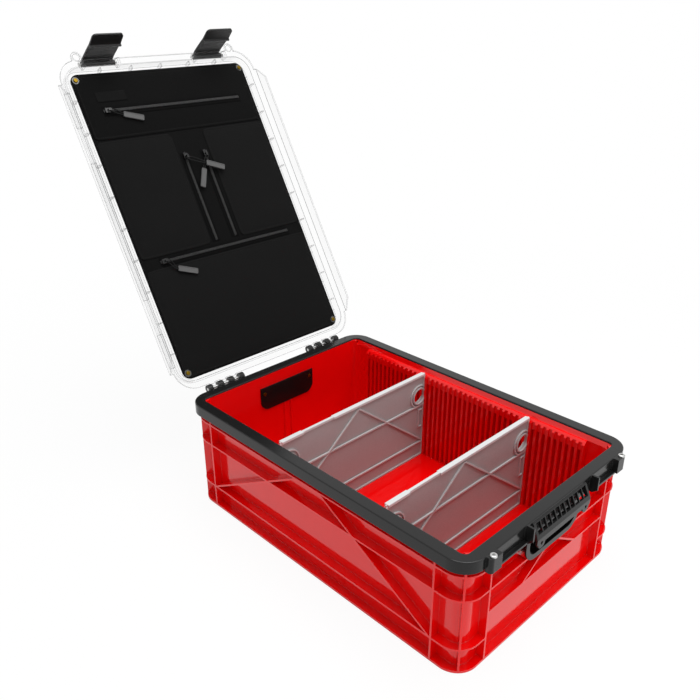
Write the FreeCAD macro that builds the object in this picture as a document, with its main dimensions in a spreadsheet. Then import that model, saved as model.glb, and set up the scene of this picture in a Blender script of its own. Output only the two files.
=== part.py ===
import FreeCAD, Part
import math
import os
import types

import Sketcher

# Storage crate with a ribbed tub, a rim frame, a clear hinged lid with two latches,
# a zipped organiser inside the lid and two lift-out dividers.
# Millimetres; X is the width, -Y the front with the latches, +Y the hinge side, Z is up.
# Everything on the lid is drawn with the lid closed and then turned about the hinge pins.
# A size that ends in from_side, past_side, from_end or past_end is measured from the rim's outer
# edge; one that ends in drop or rise is measured from the rim's top.

SIZES = {
    # shared fits and reaches
    "overrun": 2.0, "running_fit": 0.06, "body_gap": 0.3, "sunk": 0.5,
    # the rim's outer size, which the rest follows
    "rim_width": 388.0, "rim_length": 571.0, "rim_top": 183.5,
    # tub walls, floor and top flange
    "cavity_x_from_side": 22.0, "cavity_y_from_end": 19.0, "cavity_corner": 14.0, "wall": 3.5,
    "floor_top": 11.0, "floor_plate": 3.5, "base_x_from_side": 5.3, "base_y_from_end": 3.9,
    "base_corner": 34.0, "base_plate": 3.4, "flange_plate": 3.2, "flange_inset": 5.0,
    # outer rib cage
    "shelf": 2.6, "rib": 2.8, "shelf_low": 38.7, "shelf_mid_drop": 66.1,
    "shelf_under_drop": 28.7, "shelf_upper_drop": 21.0, "side_rib_from_end": 53.5,
    "end_rib_from_side": 55.6, "truss_foot_y_from_end": 56.5, "truss_foot_z": 39.0,
    "truss_head_y": 25.0, "truss_head_z_drop": 29.5, "end_rail": 80.3, "end_truss_foot": 64.0,
    "end_truss_head": 13.0, "end_truss_top_drop": 71.5,
    # base grid
    "grid_x": 88.0, "grid_y": 90.0, "grid_margin": 40.0,
    # divider slots in the long walls
    "slot_pitch": 10.25, "slot_end_margin": 36.0, "slot_rib": 4.3, "slot_face_from_side": 31.3,
    "slot_step_from_side": 28.8, "slot_step_low_drop": 27.0, "slot_top_drop": 10.5,
    "slot_slope": 7.5,
    # inner end walls
    "end_bead_x": 7.5, "end_bead": 2.8, "end_bead_depth": 2.4, "end_bead_top_drop": 69.5,
    # rim frame
    "rim_corner": 33.0, "rim_inner_corner": 8.0, "rim_side": 17.8, "rim_face": 19.0,
    "rim_plate": 2.7, "rim_skirt": 3.0, "rim_edge": 1.6, "apron_low_drop": 23.7,
    "apron_half_from_side": 54.4,
    # screw lugs
    "lug_x_from_side": 44.3, "lug_width": 21.0, "lug_reach": 8.8, "lug_plate": 4.0,
    "lug_wall": 2.6, "lug_low_drop": 22.0, "lug_round": 5.0, "lug_screw_x_from_side": 41.2,
    "lug_screw_y_past_end": 4.9, "lug_head": 9.4, "lug_head_tall": 2.7, "lug_shank": 5.0,
    "lug_socket": 4.4, "lug_socket_deep": 1.8, "lug_screw_long": 9.0,
    # strike ledges and ears
    "ledge_near_from_side": 115.0, "ledge_far_from_side": 54.5, "ledge_top_drop": 20.7,
    "ledge_plate": 3.0, "ledge_reach": 5.4, "ear_x_from_side": 116.0, "ear": 3.0,
    "ear_top_rise": 2.4, "ear_reach": 12.5, "ear_setback": 1.2, "ear_shoulder_drop": 18.0,
    # grips
    "grip_half_from_side": 130.0, "grip_cheek": 3.2, "grip_skin": 2.8, "grip_head_drop": 2.9,
    "grip_brow_out": 2.0, "grip_brow_drop": 4.5, "grip_knee_out": 8.8, "grip_knee_drop": 19.5,
    "grip_lip_out": 10.6, "grip_lip_drop": 25.5, "grip_low_drop": 33.5, "grip_slot_pitch": 11.0,
    "grip_slot_margin": 3.9, "grip_slot": 9.3, "grip_slot_low_drop": 19.3,
    "grip_slot_high_drop": 5.0, "lobe_x_from_side": 140.5, "lobe_radius": 8.0, "lobe_hole": 5.0,
    # hand-hole plugs
    "plug_half_from_side": 130.5, "plug_low_drop": 74.5, "plug_high_drop": 19.5,
    "plug_corner": 24.0, "plug_band": 8.0, "plug_plate": 2.5, "plug_wall": 2.5, "plug_back": 2.0,
    "plug_back_half_from_side": 134.4, "plug_back_low_drop": 68.5, "plug_back_high_drop": 24.9,
    "plug_back_corner": 17.0, "notch_share": 0.4, "notch_width": 4.0, "notch_deep": 2.2,
    "plug_screw_x_from_side": 142.3, "plug_screw_z_drop": 36.6, "plug_head": 6.6,
    "plug_head_tall": 1.4, "plug_shank": 3.0, "plug_screw_long": 5.0, "plug_boss": 6.2,
    # hinge
    "hinge_y_past_end": 8.0, "hinge_z_drop": 2.5, "hinge_first_x_from_side": 114.9,
    "hinge_pitch": 21.53, "rim_knuckles": 4.0, "rim_knuckle": 8.0, "lid_knuckle": 12.4,
    "knuckle_radius": 7.2, "lid_knuckle_radius": 6.6, "pin": 5.0, "knuckle_web_low_drop": 9.3,
    "lid_open": 120.0,
    # lid shell
    "lid_gap": 0.3, "lid_plate": 3.0, "lid_corner": 38.0, "tray_x_from_side": 8.5,
    "tray_y_from_end": 10.5, "tray_corner": 30.0, "tray_wall": 2.8, "tray_top_rise": 19.5,
    "tray_skin": 2.8, "tray_edge": 2.2, "rail_top_rise": 25.0, "rail_width": 7.5,
    "rail_half_from_end": 45.5, "rail_gap_at_from_end": 135.5, "rail_gap": 61.0,
    "skirt_out_past_side": 6.0, "skirt": 3.0, "skirt_low_drop": 17.5, "skirt_half_from_end": 37.5,
    "skirt_chamfer": 24.0, "skirt_shift": 2.0, "lid_lug_radius": 9.0, "lid_lug_hole": 11.6,
    "gusset": 1.6, "gusset_reach": 6.0, "gusset_pitch": 54.7, "gusset_end_pitch": 58.0,
    "gusset_margin": 40.0, "gusset_low_rise": 4.0,
    # latches
    "latch_x_from_side": 83.7, "latch_barrel": 60.0, "latch_width": 55.4, "latch_ridge": 56.6,
    "latch_pivot_y_from_end": 0.5, "latch_pivot_z_rise": 16.5, "latch_barrel_radius": 4.6,
    "latch_pin": 4.0, "latch_pin_head": 6.4, "latch_pin_head_tall": 1.2, "latch_cheek": 3.2,
    "latch_side_gap": 0.5, "latch_corner": 6.5,
    "cheek_out_past_end": 4.5, "cheek_top_rise": 21.5, "cheek_slope": 3.5,
    "latch_brow_out": 3.6, "latch_brow_up": 4.0, "latch_shoulder_out": 8.2,
    "latch_shoulder_rise": 12.5, "latch_shoulder_skin": 3.6, "latch_root": 3.7,
    "latch_neck_out": 9.4, "latch_neck_rise": 4.5, "latch_waist_out": 12.2,
    "latch_waist_drop": 17.5, "latch_heel_out": 12.8, "latch_heel_drop": 25.5,
    "latch_blade_out": 15.0, "latch_blade_drop": 35.5, "latch_tip_out": 18.4,
    "latch_tip_drop": 49.5, "latch_skin": 3.0, "latch_tip_skin": 2.4, "hook_out": 6.6,
    "hook_low_drop": 28.1, "hook_high_drop": 25.5, "hook_back_drop": 23.5,
    # dividers
    "divider_front_slots": 12.5, "divider_rear_slots": 8.5, "divider_half_from_side": 29.4,
    "divider_low": 11.3, "divider_top_drop": 6.5, "divider_web": 2.0, "divider_flange": 8.0,
    "divider_flange_tall": 4.0, "divider_flange_half_from_side": 31.8, "divider_waist": 4.6,
    "divider_waist_far_from_side": 74.0, "divider_waist_near_from_side": 138.0,
    "divider_rib": 7.0, "divider_guide": 5.0, "divider_rib_tall": 3.2, "divider_rib_mid_drop": 67.0,
    "divider_rib_low": 40.0, "divider_truss_foot": 43.0, "divider_truss_head_drop": 14.5,
    "divider_edge": 4.0, "divider_foot": 6.0, "finger_x_from_side": 44.0, "finger_z_drop": 47.5,
    "finger_hole": 27.5, "finger_collar": 32.5, "finger_groove": 38.5, "finger_ring": 43.0,
    "frame_x_from_side": 39.0, "frame_z_drop": 93.5,
    "frame_wide": 11.0, "frame_tall": 36.0, "frame_bar": 1.8,
    # organiser board, bosses and corner screws
    "board_half_from_side": 20.0, "board_front_from_end": 20.5, "board_rear_from_end": 18.0,
    "board_corner": 15.0, "board_face_rise": 9.0, "board": 2.5, "boss_radius": 6.0,
    "board_screw_x_from_side": 28.5, "board_screw_front_from_end": 31.1,
    "board_screw_rear_from_end": 28.9, "washer": 12.0, "washer_tall": 1.2, "board_head": 7.4,
    "board_head_tall": 2.0, "board_shank": 3.4, "board_screw_long": 6.4,
    # pockets
    "pocket_half_from_side": 22.0, "pocket_corner": 10.0, "pocket_left_inner": 31.0,
    "pocket_right_inner": 34.0, "pocket_margin": 2.0, "top_pocket_long": 113.0,
    "pocket_seam": 2.5, "mid_pocket_long": 205.5, "zip_strip": 19.5, "pocket_top_deep": 3.4,
    "pocket_mid_deep": 4.2, "pocket_bottom_deep": 4.4,
    # zips
    "tape": 16.0, "tape_thick": 0.8, "coil": 5.2, "coil_thick": 1.6, "zip_half_from_side": 54.3,
    "zip_top_in": 65.6, "zip_low_in": 9.3, "zip_left_x": 18.8, "zip_right_x": 22.6,
    "zip_side_in": 37.5, "zip_side_short": 3.0, "slider_long": 11.0, "slider_wide": 8.0,
    "slider_thick": 2.0, "slider_end": 2.5, "bail_at": 4.6, "bail_foot": 1.6, "bail_gap": 2.8,
    "bail_post": 2.0, "bail_roof": 0.8, "bail_wide": 3.4, "bail_stand": 3.2,
    # pull tabs and cords
    "tab_long": 36.0, "tab_wide": 9.4, "tab_thick": 2.6, "tab_corner": 1.6, "tab_inset": 1.2,
    "tab_inset_deep": 0.4, "cord": 1.6, "cord_gap": 0.3, "pull_level_rise": 1.7,
    "pull_level_top_rise": 1.8, "pull_level_under_drop": 1.6,
    "tab_top_ahead": 36.7, "tab_top_aside": 14.0, "tab_top_turn": 17.0,
    "tab_left_ahead": 20.0, "tab_left_aside": 48.8, "tab_left_turn": 23.0,
    "tab_right_ahead": 38.0, "tab_right_aside": -24.1, "tab_right_turn": 117.0,
    "tab_low_ahead": 28.7, "tab_low_aside": 24.3, "tab_low_turn": 22.0,
    "arc_run_share": 0.45, "cord_volume_share": 0.03,
    # bare patch on the top pocket
    "patch_far_from_side": 51.0, "patch_near_from_side": 106.0, "patch_in": 32.0,
    "patch_tall": 18.0, "patch_thick": 0.6, "patch_corner": 2.0,
}

doc = FreeCAD.newDocument("crate")
sheet = doc.addObject("Spreadsheet::Sheet", "sizes")
for row, (alias, value) in enumerate(SIZES.items(), 1):
    sheet.set("A%d" % row, alias)
    sheet.set("B%d" % row, str(value))
    sheet.setAlias("B%d" % row, alias)
doc.recompute()


def text(value):
    """Spreadsheet formula of a size, or the plain number."""
    return value.formula if isinstance(value, Size) else repr(float(value))


class Size(float):
    """A length that keeps the spreadsheet formula it was worked out with."""

    def __new__(cls, value, formula):
        made = float.__new__(cls, value)
        made.formula = formula
        return made

    def joined(self, sign, other, value):
        return Size(value, "(%s %s %s)" % (text(self), sign, text(other)))

    def __add__(self, other):
        return self.joined("+", other, float(self) + float(other))

    def __sub__(self, other):
        return self.joined("-", other, float(self) - float(other))

    def __mul__(self, other):
        return self.joined("*", other, float(self) * float(other))

    def __truediv__(self, other):
        return self.joined("/", other, float(self) / float(other))

    def __neg__(self):
        return Size(-float(self), "(0 - %s)" % text(self))

    __radd__ = __add__
    __rmul__ = __mul__


s = types.SimpleNamespace(**{name: Size(sheet.get(name), "sizes." + name) for name in SIZES})
vec = FreeCAD.Vector
UP = vec(0, 0, 1)
ALONG_X = vec(1, 0, 0)
ALONG_Y = vec(0, 1, 0)
QUARTER = math.pi / 2
CYCLE = FreeCAD.Rotation(ALONG_Y, UP, ALONG_X, "XYZ")
QUARTER_X = FreeCAD.Rotation(UP, vec(0, -1, 0))
nodes = []

# Places that follow the rim take the name that stands before the ending.
rim_x = s.rim_width / 2
rim_y = s.rim_length / 2
FOLLOWS = {"_from_side": (rim_x, -1), "_past_side": (rim_x, 1), "_from_end": (rim_y, -1),
           "_past_end": (rim_y, 1), "_drop": (s.rim_top, -1), "_rise": (s.rim_top, 1)}
for name in SIZES:
    for ending, (edge, way) in FOLLOWS.items():
        if name.endswith(ending):
            setattr(s, name[:-len(ending)], edge + getattr(s, name) * way)


def bind(thing, **sizes):
    """Ties properties of a document object to the spreadsheet."""
    for name, value in sizes.items():
        thing.setExpression(name.replace("__", "."), text(value))


def place(thing, x, y, z):
    """Ties the position of a document object to the spreadsheet."""
    bind(thing, Placement__Base__x=x, Placement__Base__y=y, Placement__Base__z=z)


def block(name, low, high):
    """Box between two corners."""
    made = doc.addObject("Part::Box", name)
    bind(made, Length=high[0] - low[0], Width=high[1] - low[1], Height=high[2] - low[2])
    place(made, *low)
    return made


def rod(name, radius, centre, length, axis="z"):
    """Cylinder that starts at a point and runs along one axis."""
    turns = {"x": FreeCAD.Rotation(UP, ALONG_X), "y": FreeCAD.Rotation(UP, ALONG_Y),
             "z": FreeCAD.Rotation()}
    made = doc.addObject("Part::Cylinder", name)
    made.Placement = FreeCAD.Placement(vec(0, 0, 0), turns[axis])
    bind(made, Radius=radius, Height=length)
    place(made, *centre)
    return made


def rounded_outline(sketch, half_x, half_y, radius):
    """Rectangle with rounded corners about the sketch origin, tied to the spreadsheet."""
    ix, iy, r = float(half_x - radius), float(half_y - radius), float(radius)
    arcs = []
    for k, (x, y) in enumerate(((ix, -iy), (ix, iy), (-ix, iy), (-ix, -iy))):
        circle = Part.Circle(vec(x, y, 0), UP, r)
        first = (k - 1) * QUARTER
        arcs.append(sketch.addGeometry(Part.ArcOfCircle(circle, first, first + QUARTER), False))
    sides = []
    for here, there in zip(arcs, arcs[1:] + arcs[:1]):
        begin = sketch.Geometry[here].EndPoint
        end = sketch.Geometry[there].StartPoint
        sides.append(sketch.addGeometry(Part.LineSegment(begin, end), False))
    for k in range(len(arcs)):
        after = arcs[(k + 1) % len(arcs)]
        sketch.addConstraint(Sketcher.Constraint("Tangent", arcs[k], 2, sides[k], 1))
        sketch.addConstraint(Sketcher.Constraint("Tangent", sides[k], 2, after, 1))
        sketch.addConstraint(Sketcher.Constraint("Equal", arcs[k], after))
    sketch.delConstraint(sketch.ConstraintCount - 1)
    sketch.addConstraint(Sketcher.Constraint("Vertical", sides[0]))
    sketch.addConstraint(Sketcher.Constraint("Horizontal", sides[1]))
    sketch.addConstraint(Sketcher.Constraint("Symmetric", arcs[1], 3, arcs[3], 3, -1, 1))
    drive(sketch, Sketcher.Constraint("Radius", arcs[0], r), "corner", radius)
    drive(sketch, Sketcher.Constraint("DistanceX", arcs[3], 3, arcs[1], 3, 2 * ix), "across",
          (half_x - radius) * 2)
    drive(sketch, Sketcher.Constraint("DistanceY", arcs[3], 3, arcs[1], 3, 2 * iy), "along",
          (half_y - radius) * 2)


def drive(sketch, constraint, name, value):
    """Adds a named dimension to a sketch and ties it to the spreadsheet."""
    index = sketch.addConstraint(constraint)
    sketch.renameConstraint(index, name)
    sketch.setExpression("Constraints." + name, text(value))


def polygon_outline(sketch, points):
    """Closed outline through points."""
    count = len(points)
    for k in range(count):
        begin = vec(points[k][0], points[k][1], 0)
        end = vec(points[(k + 1) % count][0], points[(k + 1) % count][1], 0)
        sketch.addGeometry(Part.LineSegment(begin, end), False)
    for k in range(count):
        sketch.addConstraint(Sketcher.Constraint("Coincident", k, 2, (k + 1) % count, 1))


def extruded(name, sketch, length):
    """Solid pushed out of a sketch along its normal."""
    made = doc.addObject("Part::Extrusion", name)
    made.Base = sketch
    made.DirMode = "Normal"
    made.Solid = True
    bind(made, LengthFwd=length)
    return made


def slab(name, half_x, half_y, radius, low, high, x=0, y=0):
    """Upright plate or block with rounded corners."""
    sketch = doc.addObject("Sketcher::SketchObject", name + "_outline")
    rounded_outline(sketch, half_x, half_y, radius)
    place(sketch, x, y, low)
    return extruded(name, sketch, high - low)


def end_slab(name, half_x, low, high, radius, from_y, to_y):
    """Plate with rounded corners that stands across the Y axis."""
    sketch = doc.addObject("Sketcher::SketchObject", name + "_outline")
    rounded_outline(sketch, half_x, (high - low) / 2, radius)
    sketch.Placement = FreeCAD.Placement(vec(0, 0, 0), QUARTER_X)
    place(sketch, 0, to_y, (high + low) / 2)
    return extruded(name, sketch, to_y - from_y)


def side_profile(name, points, from_x, to_x):
    """Outline in Y and Z pushed along X."""
    sketch = doc.addObject("Sketcher::SketchObject", name + "_outline")
    polygon_outline(sketch, points)
    sketch.Placement = FreeCAD.Placement(vec(0, 0, 0), CYCLE)
    place(sketch, from_x, 0, 0)
    return extruded(name, sketch, to_x - from_x)


def end_profile(name, points, from_y, to_y):
    """Outline in X and Z pushed along Y."""
    sketch = doc.addObject("Sketcher::SketchObject", name + "_outline")
    polygon_outline(sketch, points)
    sketch.Placement = FreeCAD.Placement(vec(0, 0, 0), QUARTER_X)
    place(sketch, 0, to_y, 0)
    return extruded(name, sketch, to_y - from_y)


def fuse(name, pieces):
    made = doc.addObject("Part::MultiFuse", name)
    made.Shapes = pieces
    made.Refine = False
    return made


def cut(name, base, tools):
    made = doc.addObject("Part::Cut", name)
    made.Base = base
    made.Tool = tools[0] if len(tools) == 1 else fuse(name + "_tools", tools)
    made.Refine = False
    return made


def common(name, first, second):
    made = doc.addObject("Part::Common", name)
    made.Base = first
    made.Tool = second
    return made


def softened(name, base, radius, wanted):
    """Rounds the edges that a test picks."""
    doc.recompute()
    picked = [k for k, edge in enumerate(base.Shape.Edges, 1) if wanted(edge)]
    made = doc.addObject("Part::Fillet", name)
    made.Base = base
    made.Edges = [(k, float(radius), float(radius)) for k in picked]
    return made


def bar(begin, end, thick):
    """Four corners of a straight bar between two points of an outline."""
    run = math.hypot(end[0] - begin[0], end[1] - begin[1])
    off_x = -(end[1] - begin[1]) / run * thick / 2
    off_y = (end[0] - begin[0]) / run * thick / 2
    return [(begin[0] + off_x, begin[1] + off_y), (begin[0] - off_x, begin[1] - off_y),
            (end[0] - off_x, end[1] - off_y), (end[0] + off_x, end[1] + off_y)]


def finish(name, thing, on_lid=False):
    """Labels a sub-part; a piece on the lid is turned to the open pose about the hinge."""
    if "Refine" in thing.PropertiesList:
        thing.Refine = True
    if on_lid:
        centre = vec(0, s.hinge_y, s.hinge_z)
        turn = FreeCAD.Rotation(ALONG_X, -float(s.lid_open))
        thing.Placement = FreeCAD.Placement(vec(0, 0, 0), turn, centre).multiply(thing.Placement)
    thing.Label = name
    nodes.append(thing)
    return thing


# Tub: a walled box with an outer cage of shelves, upright ribs and trusses.
# Cage plates run right through the crate and the cavity cut leaves them outside the walls.
flange_top = s.rim_top - s.rim_plate
flange_low = flange_top - s.flange_plate
base_x, base_y = s.base_x, s.base_y
cavity_x, cavity_y = s.cavity_x, s.cavity_y


def level_plate(name, low, thick):
    return block(name, (-base_x, -base_y, low), (base_x, base_y, low + thick))


cage = [
    level_plate("base_edge", 0, s.base_plate),
    level_plate("mid_shelf", s.shelf_mid - s.shelf / 2, s.shelf),
    level_plate("under_rim_shelf", s.shelf_under - s.shelf / 2, s.shelf),
    level_plate("upper_rim_shelf", s.shelf_upper - s.shelf / 2, s.shelf),
    block("end_rails", (-s.end_rib, -base_y, s.end_rail - s.shelf / 2),
          (s.end_rib, base_y, s.end_rail + s.shelf / 2)),
]
low_shelf = level_plate("low_shelf", s.shelf_low - s.shelf / 2, s.shelf)
low_shelf_break = block("low_shelf_break",
                        (s.rib / 2 - s.end_rib, -base_y - s.overrun, s.shelf_low - s.shelf),
                        (s.end_rib - s.rib / 2, base_y + s.overrun, s.shelf_low + s.shelf))
cage.append(cut("broken_low_shelf", low_shelf, [low_shelf_break]))
for side in (-1, 1):
    tag = "near" if side < 0 else "far"
    cage.append(block("side_rib_" + tag, (-base_x, s.side_rib * side - s.rib / 2, 0),
                      (base_x, s.side_rib * side + s.rib / 2, flange_low)))
    cage.append(block("end_rib_" + tag, (s.end_rib * side - s.rib / 2, -base_y, 0),
                      (s.end_rib * side + s.rib / 2, base_y, flange_low)))
    cage.append(side_profile("truss_" + tag, bar((s.truss_foot_y * side, s.truss_foot_z),
                                                 (s.truss_head_y * side, s.truss_head_z), s.rib),
                             -base_x, base_x))
    cage.append(end_profile("end_truss_" + tag,
                            bar((s.end_truss_foot * side, s.end_rail),
                                (s.end_truss_head * side, s.end_truss_top), s.rib),
                            -base_y, base_y))
for k, (side_x, side_y) in enumerate(((1, 1), (-1, 1), (-1, -1), (1, -1))):
    corner_rib = doc.addObject("Part::Box", "corner_rib_%d" % k)
    bind(corner_rib, Length=s.base_corner * 2, Width=s.rib, Height=flange_low)
    spot = FreeCAD.Placement(vec((base_x - s.base_corner) * side_x,
                                 (base_y - s.base_corner) * side_y, 0),
                             FreeCAD.Rotation(UP, math.degrees(QUARTER / 2 * (2 * k + 1))))
    corner_rib.Placement = spot.multiply(FreeCAD.Placement(vec(0, -s.rib / 2, 0),
                                                           FreeCAD.Rotation()))
    cage.append(corner_rib)
envelope = slab("envelope", base_x, base_y, s.base_corner, 0, flange_low)
rib_cage = common("rib_cage", fuse("cage_plates", cage), envelope)
wall_block = slab("wall_block", cavity_x + s.wall, cavity_y + s.wall, s.cavity_corner + s.wall,
                  0, flange_top)
flange_x = s.rim_width / 2 - s.flange_inset
flange_y = s.rim_length / 2 - s.flange_inset
top_flange = slab("top_flange", flange_x, flange_y, s.rim_corner - s.flange_inset, flange_low,
                  flange_top)
hollows = [
    slab("cavity", cavity_x, cavity_y, s.cavity_corner, s.floor_top, flange_top + s.overrun),
    slab("underside", cavity_x, cavity_y, s.cavity_corner, -s.overrun, s.floor_top - s.floor_plate),
]
plug_out = base_y
plug_hole_half = s.plug_half - s.plug_band + s.plug_wall + s.body_gap
plug_hole_low = s.plug_low + s.plug_band - s.plug_wall - s.body_gap
plug_hole_corner = s.plug_corner - s.plug_band + s.plug_wall + s.body_gap
for side in (-1, 1):
    tag = "front" if side < 0 else "rear"
    inner = cavity_y - s.overrun
    outer = cavity_y + s.wall
    spans = ((inner, outer + s.sunk, plug_hole_half, plug_hole_low, s.plug_back_high - s.overrun,
              plug_hole_corner, "hand_hole_"),
             (outer, plug_out + s.overrun, s.plug_half + s.sunk, s.plug_low - s.sunk,
              s.plug_high + s.sunk, s.plug_corner, "plug_seat_"))
    for near, far, half, low, high, radius, name in spans:
        ends = (-far, -near) if side < 0 else (near, far)
        hollows.append(end_slab(name + tag, half, low, high, radius, *ends))
# The long walls lean out at the top to meet the edge of the rim's opening.
mouth_x = rim_x - s.rim_face
mouth_y = cavity_y - s.wall
for side in (-1, 1):
    tag = "near" if side < 0 else "far"
    hollows.append(end_profile("mouth_lead_" + tag,
                               [((cavity_x - s.overrun) * side, s.slot_top), (cavity_x * side, s.slot_top),
                                (mouth_x * side, flange_top), (mouth_x * side, flange_top + s.overrun),
                                ((cavity_x - s.overrun) * side, flange_top + s.overrun)],
                               -mouth_y, mouth_y))
tub_walls = cut("tub_walls", fuse("tub_block", [wall_block, top_flange, rib_cage]), hollows)

# Slotted long walls: upright ribs along each side, stepped in near the top.
tub_pieces = [tub_walls]
slot_ribs = int((cavity_y - s.slot_end_margin) / s.slot_pitch)
reach = s.slot_pitch * slot_ribs + s.slot_rib / 2
for side in (-1, 1):
    tag = "near" if side < 0 else "far"
    root = cavity_x + s.sunk
    points = [vec(root * side, -reach, 0)]
    for k in range(-slot_ribs, slot_ribs + 1):
        mid = s.slot_pitch * k
        low_y, high_y = mid - s.slot_rib / 2, mid + s.slot_rib / 2
        points += [vec(cavity_x * side, low_y, 0), vec(s.slot_face * side, low_y, 0),
                   vec(s.slot_face * side, high_y, 0), vec(cavity_x * side, high_y, 0)]
    points.append(vec(root * side, reach, 0))
    comb_face = Part.Face(Part.makePolygon(points + points[:1]))
    comb_ribs = doc.addObject("Part::Feature", "comb_ribs_" + tag)
    comb_ribs.Shape = comb_face.extrude(vec(0, 0, s.slot_top - s.floor_top + s.sunk))
    comb_ribs.Placement = FreeCAD.Placement(vec(0, 0, s.floor_top - s.sunk), FreeCAD.Rotation())
    faces = sorted((s.slot_step * side, root * side))
    step = block("comb_step_" + tag, (faces[0], -reach, s.slot_step_low), (faces[1], reach, s.slot_top))
    face_x = (s.slot_face - s.overrun) * side
    slope = end_profile("comb_slope_" + tag,
                        [(face_x, s.slot_top - s.slot_slope), (face_x, s.slot_top + s.overrun),
                         ((cavity_x - s.overrun) * side, s.slot_top + s.overrun)],
                        -reach - s.overrun, reach + s.overrun)
    tub_pieces.append(cut("comb_" + tag, fuse("comb_raw_" + tag, [comb_ribs, step]), [slope]))

# Beads on the inner end walls and the crossed ribs under the floor.
for side in (-1, 1):
    tag = "front" if side < 0 else "rear"
    ends = sorted(((cavity_y - s.end_bead_depth) * side, (cavity_y + s.sunk) * side))
    for across in (-1, 1):
        mid = s.end_bead_x * across
        tub_pieces.append(block("end_bead_%s_%d" % (tag, across + 1),
                                (mid - s.end_bead / 2, ends[0], s.floor_top - s.sunk),
                                (mid + s.end_bead / 2, ends[1], s.end_bead_top)))
floor_low = s.floor_top - s.floor_plate
bars = int((cavity_x - s.grid_margin) / s.grid_x)
crosses = int((cavity_y - s.grid_margin) / s.grid_y)
for k in range(-bars, bars + 1):
    tub_pieces.append(block("base_bar_%d" % (k + bars),
                            (s.grid_x * k - s.rib / 2, -cavity_y - s.sunk, 0),
                            (s.grid_x * k + s.rib / 2, cavity_y + s.sunk, floor_low + s.sunk)))
for k in range(-crosses, crosses + 1):
    tub_pieces.append(block("base_cross_%d" % (k + crosses),
                            (-cavity_x - s.sunk, s.grid_y * k - s.rib / 2, 0),
                            (cavity_x + s.sunk, s.grid_y * k + s.rib / 2, floor_low + s.sunk)))
finish("crate_tub", fuse("tub", tub_pieces))

# Rim frame: a top plate with a skirt that caps the tub's flange.
# Grips, lugs, ears, strike ledges and hinge knuckles stand on its ends.
rim_low = s.rim_top - s.rim_side
ring_block = slab("ring_block", rim_x, rim_y, s.rim_corner, rim_low, s.rim_top)
ring = cut("ring", ring_block, [
    slab("ring_hollow", rim_x - s.rim_skirt, rim_y - s.rim_skirt, s.rim_corner - s.rim_skirt,
         rim_low - s.overrun, flange_top),
    slab("ring_opening", rim_x - s.rim_face, rim_y - s.rim_face, s.rim_inner_corner,
         rim_low, s.rim_top + s.overrun)])
soft_ring = softened("soft_ring", ring, s.rim_edge,
                     lambda edge: edge.BoundBox.ZMin > s.rim_top - s.sunk)
rim = [soft_ring]
rim.append(block("apron", (-s.apron_half, -rim_y, s.apron_low),
                 (s.apron_half, s.rim_skirt - rim_y, rim_low + s.overrun)))
lug_cuts = []
for side in (-1, 1):
    tag = "left" if side < 0 else "right"
    lug_mid = s.lug_x * side
    lug_half = s.lug_width / 2
    lug_front = -rim_y - s.lug_reach
    lug_block = block("lug_block_" + tag, (lug_mid - lug_half, lug_front, s.lug_low),
                      (lug_mid + lug_half, s.sunk - rim_y, s.rim_top))
    lug_hollow = block("lug_hollow_" + tag,
                       (lug_mid - lug_half + s.lug_wall, lug_front + s.lug_wall,
                        s.lug_low - s.overrun),
                       (lug_mid + lug_half - s.lug_wall, -rim_y, s.rim_top - s.lug_plate))
    lug_back = block("lug_back_" + tag,
                     (lug_mid - lug_half + s.lug_wall, -rim_y - s.sunk, s.lug_low - s.overrun),
                     (lug_mid + lug_half - s.lug_wall, s.overrun - rim_y, rim_low))
    round_lug = softened("round_lug_" + tag, lug_block, s.lug_round,
                         lambda edge: edge.BoundBox.ZLength > s.lug_plate
                         and edge.BoundBox.YMax < lug_front + s.sunk
                         and edge.BoundBox.XMin * side > s.lug_x)
    rim.append(cut("lug_" + tag, round_lug, [lug_hollow, lug_back]))
    lug_cuts.append(rod("lug_hole_" + tag, s.lug_shank / 2 + s.running_fit,
                        (s.lug_screw_x * side, -s.lug_screw_y,
                         s.rim_top - s.lug_screw_long - s.overrun),
                        s.lug_screw_long + s.overrun * 2))
    spans = sorted((s.ledge_near * side, s.ledge_far * side))
    rim.append(block("ledge_" + tag,
                     (spans[0], -rim_y - s.ledge_reach, s.ledge_top - s.ledge_plate),
                     (spans[1], s.sunk - rim_y, s.ledge_top)))
    ear_mid = s.ear_x * side
    rim.append(side_profile("ear_" + tag,
                            [(s.sunk - rim_y, s.rim_top - s.rim_edge),
                             (-rim_y - s.ear_setback, s.rim_top - s.rim_edge),
                             (-rim_y - s.ear_setback, s.ear_top), (-rim_y - s.ear_reach, s.ear_top),
                             (-rim_y - s.ear_reach, s.ear_shoulder),
                             (-rim_y - s.ledge_reach, s.apron_low), (s.sunk - rim_y, s.apron_low)],
                            ear_mid - s.ear / 2, ear_mid + s.ear / 2))


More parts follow.
